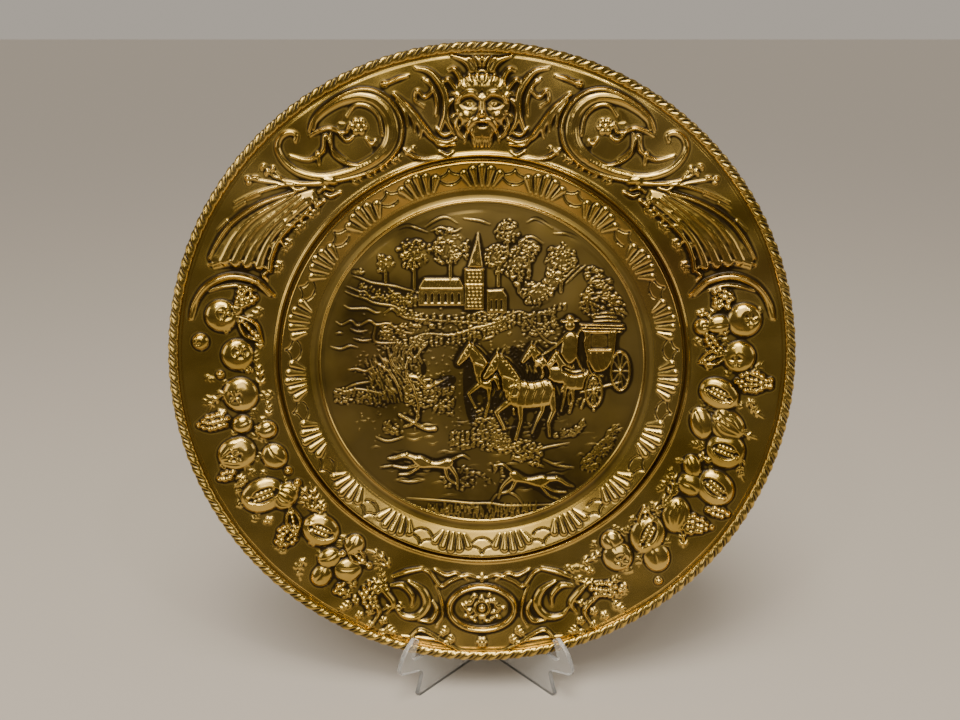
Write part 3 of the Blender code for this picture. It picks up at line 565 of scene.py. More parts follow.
def horn(side):
    """Fluted horn of plenty, wide at its lipped mouth, with curled leaves on its inner side."""
    place = mirrored(side, 0.98, 0.957)
    outline = [(163, 176), (193, 171), (210, 163), (228, 154), (243, 141), (256, 126), (265, 110),
               (262, 98), (243, 101), (218, 99), (207, 96), (206, 112), (198, 127), (182, 141),
               (168, 156), (158, 168)]
    border.fill(place(outline), 3.2, 16)
    border.lines(place, (
        (((180, 174), (207, 165), (228, 154), (244, 141), (256, 125), (265, 109)),
         (1.4, 1.9, 2.2, 2.4, 1.2)),
        (((182, 171), (206, 158), (226, 144), (241, 126), (251, 107)), (1.2, 3.0, 4.6, 5.2)),
        (((176, 171), (200, 153), (219, 138), (232, 121), (240, 105)), (1.2, 3.0, 4.6, 5.4)),
        (((172, 168), (194, 150), (210, 134), (222, 118), (229, 103)), (1.2, 2.8, 4.2, 5.0)),
        (((169, 163), (188, 147), (204, 130), (213, 114), (218, 101)), (1.2, 2.6, 3.8, 4.4)),
        (((166, 158), (183, 143), (197, 128), (205, 112), (208, 97)), (1.2, 2.0, 2.6, 2.8)),
    ), 5.0, power=0.55, fade=0.7)
    border.stroke(place(curve([(266, 102), (252, 106), (238, 106), (220, 104), (208, 97)])),
                  (0.9, 1.5, 0.9), 4.4)
    arch = mirrored(side)
    for line, widths, rise in (
            (((281, 46), (276, 62), (262, 79), (240, 87), (217, 82), (201, 68)),
             (1.0, 2.0, 3.0, 3.4, 3.0, 1.4), 5.2),
            (((279, 46), (271, 66), (258, 79), (239, 85), (219, 80), (205, 68)), (0.8, 1.5, 1.5, 0.8), 3.6),
            (((262, 73), (248, 77), (232, 78), (218, 73)), (0.7, 1.4, 1.4, 0.7), 3.0)):
        border.stroke(arch(curve(line)), widths, rise)
    for line in (((158, 164), (164, 168), (160, 161), (153, 166)), ((176, 152), (184, 155), (181, 148)),
                 ((186, 149), (192, 146), (186, 142)), ((182, 140), (190, 141), (197, 131)),
                 ((199, 126), (205, 122), (202, 115)), ((203, 114), (208, 108), (205, 101)),
                 ((206, 98), (214, 92), (211, 86)), ((144, 176), (152, 178), (158, 174)),
                 ((137, 174), (146, 170), (152, 172)), ((165, 150), (172, 152), (176, 146)),
                 ((192, 133), (196, 127), (193, 121)), ((170, 178), (178, 176), (184, 179))):
        border.stroke(place(curve(line)), (0.9, 2.0, 1.0), 4.2)
    for spot, tip in (((172, 144), (182, 130)), ((186, 126), (194, 112)), ((196, 104), (201, 90)),
                      ((158, 158), (168, 146))):
        middle = ((spot[0] + tip[0]) / 2 + 2, (spot[1] + tip[1]) / 2 + 2)
        leaf(place, (spot, middle, tip), 4.2, 2.4, 3)
    for spot, tip in (((228, 164), (240, 156)), ((214, 172), (228, 166)), ((246, 146), (256, 136))):
        border.stroke(place([spot, tip]), (1.4, 0.8), 1.8)


def grapes(clock, radius, long, wide, turn=0.0):
    """Bunch of grapes, broad at its top and loose at its tip."""
    place = motif(clock, radius, turn=turn)
    berry = 3.1
    for row in range(round(2 * long / (berry * 1.5))):
        y = long - row * berry * 1.5
        reach = wide * math.sqrt(max(0.0, 1 - (y / long) ** 2)) * (0.75 + 0.35 * y / long)
        across = max(1, round(2 * reach / (berry * 1.75)))
        for number in range(across):
            x = (number - (across - 1) / 2) * berry * 1.75 + chance.uniform(-0.6, 0.6)
            size = berry * chance.uniform(0.8, 1.15)
            rise = 2.6 + 2.2 * (1 - (x / (wide + 2)) ** 2) + chance.uniform(-0.5, 0.5)
            border.dome(place([(x, y + chance.uniform(-0.6, 0.6))])[0], size, size, rise, power=0.5)


def apple(clock, radius, size, eye=(0.2, -0.25)):
    """Round fruit with a starred eye sunk in it."""
    place = motif(clock, radius)
    border.dome(place([(0, 0)])[0], size, size, fruit_rise * (0.5 + size / 34), power=0.55)
    spot = (eye[0] * size, eye[1] * size)
    border.dome(place([spot])[0], size * 0.52, size * 0.44, 2.4, mode="cut", power=0.8)
    for number in range(4):
        angle = 2 * math.pi * number / 4 + clock
        tip = (spot[0] + 0.5 * size * math.cos(angle), spot[1] + 0.42 * size * math.sin(angle))
        middle = ((spot[0] + tip[0]) / 2 + 0.1 * size, (spot[1] + tip[1]) / 2)
        border.stroke(place([spot, middle, tip]), (0.6, 0.13 * size, 0.5), 1.9, mode="on")


def pomegranate(clock, radius, wide, long, turn=0.0):
    """Long fruit, split open on a row of seeds."""
    place = motif(clock, radius, turn=turn)
    border.dome(place([(0, 0)])[0], wide, long, fruit_rise, turn=clock + turn, power=0.55)
    split = curve([(0, 0.75 * long), (0.42 * wide, 0.2 * long), (0.38 * wide, -0.45 * long),
                   (0, -0.8 * long), (-0.38 * wide, -0.45 * long), (-0.42 * wide, 0.2 * long),
                   (0, 0.75 * long)], 5)
    border.fill(place(split), 2.6, 2.0, mode="cut")
    border.stroke(place(split), (0.8, 0.9, 0.8), 1.0, mode="on")
    for y in np.arange(-0.6, 0.65, 0.2):
        for x in (-0.16, 0.16):
            if abs(y) < 0.5 or x > 0:
                border.dome(place([(x * wide, y * long)])[0], 1.9, 1.9, 1.9, mode="on")


def plum(clock, radius, wide, long, turn=0.0):
    """Smooth fruit with a crease down one side."""
    place = motif(clock, radius, turn=turn)
    border.dome(place([(0, 0)])[0], wide, long, fruit_rise * 0.8, turn=clock + turn, power=0.55)
    crease = curve([(0.25 * wide, 0.85 * long), (0.1 * wide, 0), (0.25 * wide, -0.85 * long)])
    border.stroke(place(crease), (0.4, 0.9, 0.4), 1.2, mode="cut")


def melon(clock, radius, wide, long, turn=0.0):
    """Ribbed fruit."""
    place = motif(clock, radius, turn=turn)
    border.dome(place([(0, 0)])[0], wide, long, fruit_rise, turn=clock + turn, power=0.55)
    for share in (-0.62, -0.22, 0.22, 0.62):
        rib = share * wide
        line = curve([(rib * 0.3, 0.85 * long), (rib, 0), (rib * 0.3, -0.85 * long)])
        border.stroke(place(line), (0.5, 1.1, 0.5), 1.3, mode="cut")
    border.dome(place([(0, -0.7 * long)])[0], 3.0, 3.0, 1.2, mode="on")


def pod(clock, radius, long, turn=0.0):
    """Open pod with a row of peas between its two lips."""
    place = motif(clock, radius, turn=turn)
    for side in (-1, 1):
        lip = curve([(0, -long), (side * long * 0.42, -long * 0.2), (side * long * 0.34, long * 0.4),
                     (0, long)])
        border.stroke(place(lip), (0.9, 2.0, 1.0), 4.6)
    for y in np.linspace(-0.6, 0.6, 5) * long:
        border.dome(place([(0, y)])[0], 2.5, 2.5, 4.2)


def undergrowth(first, last, number):
    """Small leaves, stalks and berries that show between the fruit."""
    for item in range(number):
        clock = first + (last - first) * (item + chance.uniform(0.1, 0.9)) / number
        radius = chance.uniform(214, 276)
        place = motif(clock, radius, turn=chance.uniform(0, 360))
        size = chance.uniform(5, 9)
        if item % 4 == 0:
            for x, y in ((0, 0), (3.6, 1), (1.5, 3.8), (-2.4, 3.0)):
                border.dome(place([(x, y)])[0], 2.0, 2.0, 2.6)
        else:
            leaf(place, ((0, -size), (size * 0.3, 0), (0, size)), size * 0.5, 1.7, 3)


def garlands():
    """Fruit of both sides: the kinds in turn, each at a clock angle and a radius."""
    undergrowth(203, 283, 64)
    undergrowth(77, 157, 64)
    for clock, radius, wide, long, turn in ((250, 258, 16, 18, 0), (236, 236, 15, 12, 70),
                                            (104, 248, 15, 18, 20), (128, 246, 14, 18, 60)):
        melon(clock, radius, wide, long, turn)
    for clock, radius, long, turn in ((279, 228, 17, 40), (230, 246, 15, 120), (88, 226, 15, -20),
                                      (134, 228, 15, 40), (213, 232, 13, 100)):
        pod(clock, radius, long, turn)
    for clock, radius in ((281, 256), (272.5, 238), (88, 250)):
        apple(clock, radius, 15.5)
    for clock, radius, size in ((263, 238, 17), (250, 254, 15.5), (80, 257, 16.5), (145, 238, 15),
                                (283, 243, 6), (275, 273, 8), (80, 217, 8)):
        apple(clock, radius, size, (-0.1, 0.3))
    for clock, radius, wide, long, turn in ((239, 254, 17, 22, 10), (224, 233, 16, 19, 70),
                                            (97, 234, 15, 20, 20), (109.5, 255, 18, 19, 0),
                                            (118, 262, 17, 20, 10), (136, 239, 17, 20, 70)):
        pomegranate(clock, radius, wide, long, turn)
    for clock, radius, wide, long, turn in (
            (256, 243, 9, 10, 0), (253, 222, 9, 10, 0), (246, 225, 12, 13, 70), (215, 224, 10, 11, 0),
            (218, 249, 10, 12, 30), (213, 249, 12, 14, 60), (217, 268, 10, 12, 0),
            (80, 232, 9, 12, 0), (105, 224, 11, 16, 60), (102, 242, 8, 10, 40), (116, 232, 9, 12, 50),
            (120, 239, 12, 13, 0), (144, 222, 11, 11, 0), (138, 262, 13, 15, 30)):
        plum(clock, radius, wide, long, turn)
    for clock, radius, size in ((268, 255, 4), (241, 220, 4), (237, 219, 4), (236, 224, 4),
                                (216, 238, 4), (113, 243, 4), (141, 282, 4), (209, 235, 3.5)):
        border.dome(polar(clock, radius), size, size, 4.0)
    for clock, radius, long, wide, turn in (
            (258, 272, 17, 10, 180), (228.5, 263, 15, 13, 180), (205.5, 263, 14, 12, 150),
            (246.5, 277, 9, 6, 180), (93.5, 268, 19, 13, 180), (127, 268, 18, 12, 150),
            (286, 238, 11, 14, 110), (74, 240, 11, 14, 70), (84, 224, 15, 8, 60), (151, 262, 16, 11, 120),
            (122, 280, 12, 6, 160), (212, 272, 8, 6, 180)):
        grapes(clock, radius, long, wide, turn)
    for clock, radius, size, turn in (
            (277, 222, 11, 60), (268, 220, 12, 80), (262, 262, 13, -40), (259, 216, 9, 90),
            (243, 268, 12, -60), (233, 222, 15, 100), (230, 226, 15, 70), (232, 216, 14, 120),
            (221, 275, 11, -30), (208, 224, 14, 100), (206, 250, 12, 60), (200, 266, 12, 60),
            (76, 228, 10, -60), (88, 220, 12, -90), (99, 272, 12, 40), (104, 268, 13, 20),
            (112, 278, 12, 60), (124, 226, 15, -100), (127, 228, 15, -80), (122, 222, 14, -120),
            (131, 262, 12, -150), (150, 224, 13, -100), (154, 244, 13, -60), (157, 262, 12, -60)):
        leaf(motif(clock, radius, turn=turn), ((0, -size), (size * 0.25, 0), (0, size)),
             size * 0.34, leaf_rise, 3)


def medallion():
    """Oval medallion of small flowers about a ringed boss, between ribbons and leafy scrolls."""
    place = motif(180, 250)
    angles = np.linspace(0, 2 * math.pi, 49)
    border.dome(place([(0, 0)])[0], 33, 22, 1.6, mode="cut", power=0.5)
    oval = np.stack((33 * np.cos(angles), 22 * np.sin(angles)), axis=-1)
    border.stroke(place(oval), (3.2, 3.2), 4.8, power=0.7)
    border.stroke(place(spiral((0, 0), 7.4, 7.4, 0, 360)), (1.5, 1.5), 2.6)
    border.dome(place([(0, 0)])[0], 4.4, 4.4, 4.4)
    for number in range(34):
        angle = 2 * math.pi * (number + chance.uniform(-0.4, 0.4)) / 34
        far = chance.uniform(0.42, 0.84)
        spot = place([(29 * far * math.cos(angle), 18 * far * math.sin(angle))])[0]
        border.dome(spot, chance.uniform(1.4, 2.4), chance.uniform(2.2, 3.8), chance.uniform(1.6, 2.8),
                    turn=chance.uniform(0, 180))
    flower(place, (0, 35), 6, 6, 2.6)
    flower(place, (0, -31), 5, 4, 2.6)
    for side in (-1, 1):
        flip = mirrored(side)
        border.lines(flip, (
            (((90, -217), (76, -212), (61, -209)), (2.0, 2.8, 2.0)),
            (((61, -209), (52, -214), (42, -227), (32, -222), (16, -216), (4, -219)),
             (0.9, 1.6, 2.0, 1.6, 1.8, 0.8)),
            (((48, -210), (36, -216), (26, -214), (14, -221)), (1.0, 2.2, 1.6, 0.8)),
            (((75, -282), (64, -272), (52, -276), (38, -285), (24, -293)), (0.9, 2.2, 1.8, 1.4, 0.8)),
            (((82, -278), (60, -280), (40, -284), (20, -295), (0, -297)), (0.6, 0.9, 0.9, 0.6)),
            (((47, -226), (42, -240), (40, -256), (46, -268)), (0.7, 1.1, 0.7)),
        ), leaf_rise + 0.4)
        border.lines(flip, (
            (((74, -222), (60, -232), (56, -247), (66, -258), (80, -257), (88, -248)),
             (1.6, 4.2, 5.0, 4.0, 2.6, 0.8)),
            (((92, -226), (80, -226), (71, -236), (71, -247)), (1.2, 3.4, 2.8, 0.9)),
            (((64, -262), (52, -262), (46, -252), (50, -242)), (1.2, 3.0, 2.6, 0.9)),
            (((108, -222), (98, -232), (90, -244), (96, -254)), (1.4, 3.6, 3.4, 0.9)),
            (((124, -232), (112, -240), (104, -252), (110, -264)), (1.2, 3.0, 2.6, 0.8)),
        ), leaf_rise + 1.2, ribs=3)
        for spot in ((113, -252), (113, -266), (100, -262), (124, -256)):
            flower(flip, spot, 4.6, 5, 2.6)
        for spot, tip in (((34, -271), (44, -279)), ((28, -280), (38, -288)), ((98, -270), (86, -278)),
                          ((104, -272), (96, -284)), ((110, -276), (106, -286)), ((132, -244), (146, -252)),
                          ((128, -226), (140, -216)), ((134, -236), (148, -230))):
            middle = ((spot[0] + tip[0]) / 2, (spot[1] + tip[1]) / 2 + 1.5)
            leaf(flip, (spot, middle, tip), 4.4, leaf_rise, 3)


def finish_relief(relief, waves, softness):
    """Softens the relief as sheet metal is, and finds its slopes and the painted shade and patina of its
    hollows.

    The sheet isn't quite flat: each of the waves has a length, a direction and a height.
    """
    u, v = np.meshgrid(relief.axis, relief.axis)
    hammer_size, hammer_depth, dent_size, dent_depth = 1.5, 0.07, 6.0, 0.05
    hammered = blurred(chance.normal(size=u.shape), hammer_size / relief.step)
    hammered /= hammered.std()
    dented = blurred(chance.normal(size=u.shape), dent_size / relief.step)
    dented /= dented.std()
    relief.height += hammer_depth * hammered * np.clip(relief.height / 2, 0, 1)
    relief.height = blurred(relief.height, softness / relief.step)
    relief.height += dent_depth * dented
    for length, turn, size in waves:
        along = u * math.cos(turn) + v * math.sin(turn)
        relief.height += size * np.sin(2 * math.pi * along / length + turn * 3)
    relief.slopes = np.gradient(relief.height, relief.step)
    # Painted shade with patina: the deeper a place lies below its neighbours, the darker its colour.
    small = blurred(relief.height, 1.0 / relief.step) - relief.height
    large = blurred(relief.height, 3.0 / relief.step) - relief.height
    relief.recess = np.clip(small * 2.0 + large * 0.8 - 0.16, 0, 1)


def pressed(relief, u, v, depth, ground=0.0, drawn=None):
    """Points, slopes and share of patina and painted shade of the sheet at u and v, all as flat lists.

    Shade is the share of patina and painted shade at a place, 0 to 1: depth gives the share of the relief's
    own hollows, and ground that of the flats. The groove and the cove by the roundel's edge get painted
    shade too. The relief is read at drawn, if that is given.
    """
    across, up = drawn or (u, v)
    radius = np.hypot(u, v)
    rise = relief.at(across, up)
    rise_v, rise_u = relief.slopes
    outward = (moulding(radius + 0.15) - moulding(radius - 0.15)) / 0.3
    near = np.maximum(radius, 1e-6)
    slopes = (relief.at(across, up, rise_u) + outward * u / near,
              relief.at(across, up, rise_v) + outward * v / near)
    # Painted shade in the deep groove, in the cove by the roundel's edge and on the low flats.
    groove_reach, hollow_radius, hollow_width, flat_rise = 4, 164, 4.5, 1.5
    groove = (moulding(radius + groove_reach) + moulding(radius - groove_reach)) / 2 - moulding(radius)
    in_groove = np.clip(groove * 0.22 - 0.1, 0, 0.68)
    in_hollow = 0.55 * np.exp(-((radius - hollow_radius) / hollow_width) ** 2)
    on_ground = ground * np.clip(1 - rise / flat_rise, 0, 1)
    recess = relief.at(across, up, relief.recess) * depth + in_groove + in_hollow + on_ground
    return on_plate(u, v, moulding(radius) + rise), slopes, np.clip(recess, 0, 1)


mask()
for one_side in (-1, 1):
    great_scroll(one_side)
    horn(one_side)
medallion()
garlands()
finish_relief(border, ((74.0, 0.4, 0.30), (51.0, 1.9, 0.20), (38.0, 2.7, 0.12)), 0.45)
quarter = spokes // 4
for piece_name, first in (("border_top", -45), ("border_right", 45), ("border_foot", 135),
                          ("border_left", 225)):
    clocks = np.radians(first + 90 * np.arange(quarter + 1) / quarter)
    radii = np.linspace(band_radius, border_radius, rings + 1)
    shape = pressed(border, *ring_points(clocks, radii), depth=1.1, ground=0.06)
    make_sheet(piece_name, *shape, ring_faces(rings + 1, quarter + 1, False))

# The band of shells
# A narrow cone between the roundel's bright edge and the deep groove, pressed with nineteen
# fans of five rounded flutes, and a bracket engraved between each two of them.
roundel_radius = 157.0
fans = 19
band = Relief(band_radius + 2, 0.4)
pitch = 360 / fans
for fan in range(fans):
    for flute in range(-2, 3):
        place = motif(fan * pitch, 172.0)
        reach = (17.0, 15.0, 11.0)[abs(flute)]
        line = place([(flute * 5.4, 0.8), (flute * 8.4, reach)])
        band.stroke(line, (1.2, 3.9), 2.4, power=0.55, fade=0.4)
        band.stroke(line, (1.9, 4.8), 0.7, mode="cut", power=0.3)
    place = motif((fan + 0.5) * pitch, 172.0)
    for side in (-1, 1):
        for line in (((0, 18.6), (side * 3.2, 14.8), (side * 9.0, 12.6)),
                     ((0, 4.4), (side * 5.0, 5.4), (side * 9.6, 8.6))):
            band.stroke(place(curve(line)), (0.9, 0.8), 1.1, mode="cut", power=0.4)
finish_relief(band, ((61.0, 0.9, 0.05), (43.0, 2.2, 0.03)), 0.35)
band_spokes = fans * 66
clocks = 2 * math.pi * np.arange(band_spokes) / band_spokes
radii = np.concatenate((np.arange(roundel_radius, 162.5, 0.5), np.linspace(162.5, 194.5, 34),
                        np.linspace(195, band_radius, 12)))
make_sheet("shell_band", *pressed(band, *ring_points(clocks, radii), depth=1.6),
           ring_faces(len(radii), band_spokes, True))

# The roundel
# The flat middle of the plate, pressed with a country scene in low relief: a coach and four
# passes a church among trees, with fields behind it and two hounds running in front.
figure_rise = 3.9


def roundel_relief():
    """Plain relief of the roundel's size."""
    return Relief(roundel_radius + 2, 0.35)


roundel = roundel_relief()


def foliage(center, wide, tall):
    """Crown of leaves, as a low cushion thick with small curled strokes."""
    center = np.array(center, dtype=float)
    height, grain = 1.9, 1.8
    first_lobe = chance.uniform(0, 6)
    roundel.dome(center, wide * 0.95, tall * 0.95, height * 0.3, power=0.9)
    for number in range(int(wide * tall * 1.1 / grain ** 2)):
        angle, far = chance.uniform(0, 2 * math.pi), math.sqrt(chance.uniform(0, 1))
        far *= 0.94 + 0.13 * math.sin(3 * angle + first_lobe) + 0.08 * math.sin(7 * angle - first_lobe)
        spot = center + far * np.array((wide * math.cos(angle), tall * math.sin(angle)))
        first = chance.uniform(0, 140)
        curl = spiral(spot, grain * 0.7, grain * 1.1, first, first + chance.uniform(60, 170), 5)
        roundel.stroke(curl, (0.4, 0.7, 0.5), height * chance.uniform(0.5, 1.15), fade=0.7)


def tree(center, wide, tall, foot):
    """Tree: a trunk up to its crown of leaves."""
    roundel.stroke([(center[0], foot), (center[0], center[1])], (1.5, 1.0), 1.5)
    foliage(center, wide, tall)


def grass(low, high, number, lean_over, long):
    """Patch of short blades between two corners."""
    for _ in range(number):
        foot = np.array((chance.uniform(low[0], high[0]), chance.uniform(low[1], high[1])))
        if np.hypot(*foot) > roundel_radius - 6:
            continue
        tip = foot + long * chance.uniform(0.6, 1.2) * np.array(
            (math.sin(lean_over + chance.uniform(-0.3, 0.3)), 1.0))
        roundel.stroke([foot, tip], (0.7, 0.3), 1.3)


def ground_line(points):
    """Fine raised line through the given places."""
    roundel.stroke(curve(points), (0.4, 0.8, 0.8, 0.4), 1.3)


def stipple(line, thick, number, long):
    """Short strokes scattered along a line, and below it by up to the given thickness."""
    path = curve(line)
    for _ in range(number):
        spot = path[chance.integers(len(path))] - (0, thick * chance.uniform(0, 1))
        spot = spot + chance.uniform(-1.2, 1.2, 2)
        bend = 0.3 + chance.uniform(-0.8, 0.8)
        tip = spot + long * chance.uniform(0.5, 1.3) * np.array((math.cos(bend), math.sin(bend)))
        roundel.stroke([spot, tip], (0.5, 0.7), chance.uniform(0.7, 1.5), fade=0.7)


def country():
    """Hills, trees, fields, hedges and rough ground."""
    for line in (((-84, 136), (-74, 140), (-65, 138), (-53, 133)),
                 ((-56, 138), (-48, 144), (-40, 148), (-33, 148), (-24, 142)),
                 ((-18, 147), (-2, 145), (8, 141)), ((44, 143), (51, 147), (58, 145), (69, 137)),
                 ((70, 132), (82, 132), (95, 127)), ((-50, 134), (-40, 138), (-28, 134), (-20, 137)),
                 ((36, 124), (48, 129), (60, 122))):
        ground_line(line)
    # trees, each by its crown and the foot of its trunk
    for spot, wide, tall, foot in (((-94, 101), 9, 9, 84), ((-66, 112), 17, 16, 77),
                                   ((-31, 118), 19, 19, 88), ((25, 132), 13, 13, 112),
                                   ((16, 108), 13, 15, 80), ((36, 102), 15, 21, 74),
                                   ((46, 118), 12, 10, 90), ((77, 105), 16, 18, 74),
                                   ((103, 68), 6, 8, 54)):
        tree(spot, wide, tall, foot)
    for spot, wide, tall in (((54, 72), 18, 12), ((70, 84), 12, 8), ((-121, 93), 6, 3), ((-66, 66), 12, 6)):
        foliage(spot, wide, tall)
    for low, high in ((64, 96), (68, 100), (72, 104), (76, 106)):
        for shift in (0, 6, 12, 18):
            roundel.stroke([(low + shift, low + 18), (low + shift + 7, high - 6)], (0.5, 0.4), 1.2)
    # edges of fields, hedges, water and the road
    for line in (
            ((-127, 90), (-118, 87), (-108, 83), (-96, 81), (-84, 79), (-74, 76), (-64, 74)),
            ((-135, 80), (-127, 77), (-119, 74), (-114, 74), (-108, 68), (-101, 69), (-95, 67), (-89, 70),
             (-82, 72), (-77, 68), (-70, 68)),
            ((-134, 74), (-125, 70), (-114, 67), (-106, 63), (-95, 61), (-88, 60), (-82, 57), (-80, 52),
             (-74, 48), (-58, 46), (-42, 45), (8, 42)),
            ((-135, 60), (-128, 57), (-113, 57), (-104, 53), (-99, 53)),
            ((-143, 44), (-137, 41), (-128, 45), (-121, 40), (-110, 45), (-103, 41), (-91, 42), (-80, 35),
             (-68, 32)),
            ((-129, 37), (-121, 34), (-112, 35)), ((-143, 32), (-139, 33), (-136, 32)),
            ((-148, 19), (-138, 17), (-129, 20), (-121, 18)), ((-126, 27), (-116, 25), (-108, 26)),
            ((-68, 27), (-59, 31), (-50, 32), (-40, 31), (-28, 31), (-18, 34), (-7, 38), (3, 40), (10, 42),
             (19, 45), (26, 50), (36, 54), (45, 51), (57, 51), (68, 56)),
            ((0, 26), (12, 30)), ((-104, 40), (-104, 24), (-80, 23)), ((-96, 52), (-88, 57), (-82, 52)),
            ((-92, 78), (-86, 72), (-78, 66)), ((-10, 50), (0, 54), (8, 50), (18, 53)),
            ((-131, -4), (-122, -3), (-113, -5), (-102, 2)), ((-133, -22), (-123, -18), (-106, -15)),
            ((-143, -23), (-133, -25), (-122, -23), (-108, -25), (-96, -28)),
            ((49, -85), (64, -80), (86, -76)), ((77, -71), (88, -68), (94, -65), (99, -57)),
            ((-74, -130), (-58, -131), (-31, -133), (-10, -135), (8, -135), (22, -137), (44, -137),
             (81, -136)),
            ((8, -135), (14, -127), (24, -124), (34, -128), (40, -136)),
            ((-100, -100), (-86, -98)), ((-84, -112), (-70, -114), (-56, -112)),
            ((-104, -70), (-92, -74), (-76, -70)), ((60, -92), (74, -98), (90, -100))):
        ground_line(line)
    # leaves of hedges and rough ground, below a line
    for line, thick, number, long in (
            (((-82, 60), (-60, 52), (-20, 50), (10, 52), (20, 50)), 8, 300, 1.5),
            (((-120, 82), (-100, 76), (-80, 74)), 12, 90, 1.6),
            (((40, 44), (60, 44), (72, 46)), 14, 90, 2.0),
            (((96, 64), (106, 60), (114, 52)), 10, 50, 1.8),
            (((-80, 42), (-50, 42), (8, 40)), 4, 60, 2.2),
            (((-70, 27), (-50, 31), (-18, 33), (10, 41), (30, 50), (68, 54)), 10, 480, 1.5),
            (((-100, 40), (-90, 41), (-76, 34)), 15, 120, 1.7),
            (((20, 54), (50, 52), (80, 62)), 6, 110, 1.6),
            (((-88, 70), (-66, 66)), 8, 60, 1.6),
            (((-143, -24), (-122, -24), (-96, -28)), 13, 190, 1.7),
            (((-10, -40), (8, -44), (22, -50)), 36, 260, 2.2),
            (((-30, -66), (0, -66), (26, -70)), 16, 200, 2.4),
            (((30, -72), (44, -74), (56, -78)), 22, 130, 2.8),
            (((70, -66), (88, -62), (98, -54)), 6, 60, 2.6),
            (((-74, -8), (-54, -12), (-30, -20)), 30, 330, 2.2),
            (((-96, -56), (-84, -58)), 10, 50, 2.2),
            (((-40, -98), (-16, -100), (18, -96)), 22, 90, 3.0)):
        stipple(line, thick, number, long)
    # fallen logs, trunks and branches
    for line, widths in (
            (((-81, -48), (-68, -55), (-55, -62), (-46, -62)), (1.0, 1.8, 1.5, 2.2)),
            (((-76, -60), (-68, -57), (-62, -50), (-66, -42)), (0.8, 1.4, 1.2, 0.6)),
            (((-74, -10), (-62, -12), (-54, -20), (-44, -17), (-33, -12)), (0.9, 1.8, 1.4, 1.8, 0.9)),
            (((-72, 8), (-74, -6), (-66, -22), (-62, -40), (-64, -52)), (0.7, 1.5, 1.4, 1.3, 0.6)),
            (((-104, 4), (-90, -6), (-82, -20), (-78, -34)), (0.7, 1.3, 1.2, 0.6)),
            (((-92, 18), (-88, 4), (-80, -8)), (0.6, 1.2, 0.6)),
            (((-66, 24), (-70, 14), (-64, 6)), (0.6, 1.3, 0.6)),
            (((-54, 22), (-62, 12), (-58, 2)), (0.6, 1.1, 0.5))):
        roundel.stroke(curve(line), widths, 2.0)
    grass((-112, -36), (-68, 6), 150, -0.5, 5.5)
    grass((-90, 2), (-60, 22), 60, 0.3, 4.5)
    for far in np.arange(0, 1, 0.006):
        along = np.array((104, -105)) + far * np.array((36, 40))
        spot = along + chance.uniform(-11, 11) * np.array((0.74, -0.67))
        if np.hypot(*spot) < roundel_radius - 6:
            roundel.stroke(spiral(spot, 1.6, 2.8, chance.uniform(0, 60), 190, 8), (0.4, 0.6), 1.0)
    grass((-60, -153), (66, -139), 260, 0.0, 5.0)
    for number in range(260):
        spot = np.array((chance.uniform(100, 146), chance.uniform(50, 98)))
        bend = (spot[1] - 72) * 0.02 + chance.uniform(-0.5, 0.3)
        tip = spot + chance.uniform(2.5, 5.5) * np.array((math.cos(bend), math.sin(bend)))
        if np.hypot(*tip) < roundel_radius - 4 and spot[0] + spot[1] > 164:
            roundel.stroke([spot, (spot + tip) / 2 + (0, 0.8), tip], (0.5, 0.9, 0.5), 1.5)
    for number in range(80):
        spot = np.array((chance.uniform(-120, 110), chance.uniform(-130, -52)))
        long = chance.uniform(3, 9)
        if np.hypot(*spot) < roundel_radius - 18:
            bend = spot + (0, chance.uniform(-1.5, 2.5))
            roundel.stroke(curve([spot - (long, 0), bend, spot + (long, 1)]), (0.3, 0.8, 0.3),
                           chance.uniform(0.4, 0.9))
    for number in range(620):
        spot = np.array((chance.uniform(-125, 96), chance.normal(-8, 34)))
        if np.hypot(*spot) < roundel_radius - 16 and -78 < spot[1] < 60:
            bend, long = chance.normal(0.1, 0.5), chance.uniform(1.5, 4)
            tip = spot + long * np.array((math.cos(bend), math.sin(bend)))
            middle = (spot + tip) / 2 + (0, chance.uniform(-0.8, 0.8))
            roundel.stroke([spot, middle, tip], (0.3, 0.6, 0.3), chance.uniform(0.5, 1.1), fade=0.7)
    for x in (-66, -48, -36, 60, 72):
        roundel.stroke(curve([(x - 5, -145), (x, -140), (x + 5, -145)]), (0.5, 0.9, 0.5), 1.2)


def church():
    """Church with a nave, a tower and its spire, and a low aisle."""
    roundel.fill([(-62, 60), (-62, 78), (-57, 87), (-22, 87), (-17, 78), (-17, 60)], 1.7, 1.6)
    roundel.fill([(-17, 56), (-17, 97), (2, 97), (2, 56)], 2.1, 1.2)
    roundel.fill([(5, 53), (5, 75), (20, 76), (24, 70), (24, 53)], 1.5, 1.2)
    roundel.fill([(-14, 98), (-3.5, 134), (1, 98)], 1.9, 2.4)
    for start, end in (((-60, 77), (-19, 77)), ((-17, 81), (2, 81)), ((-17, 96), (2, 96)),
                       ((-56, 87), (-23, 87)), ((5, 75), (21, 76)), ((-8, 99), (-4, 132))):
        roundel.stroke([start, end], (0.6, 0.6), 0.9, mode="on")
    for x in np.arange(-55, -20, 6.5):
        window = [(x - 1.6, 63), (x - 1.6, 71), (x, 73.5), (x + 1.6, 71), (x + 1.6, 63)]
        roundel.fill(window, 1.1, 0.8, "cut")
    for x in np.arange(-56, -24, 3.0):
        roundel.stroke([(x, 79), (x + 2.6, 85.5)], (0.35, 0.35), 0.8, mode="on")
    for y in np.arange(59, 96, 3.6):
        for x in np.arange(-14, 1, 3.8):
            roundel.dome((x + (y % 2), y), 1.2, 0.9, 0.8, mode="on")
    for x in (9, 14, 19):
        roundel.fill([(x - 1.3, 56), (x - 1.3, 66), (x + 1.3, 66), (x + 1.3, 56)], 0.9, 0.7, "cut")


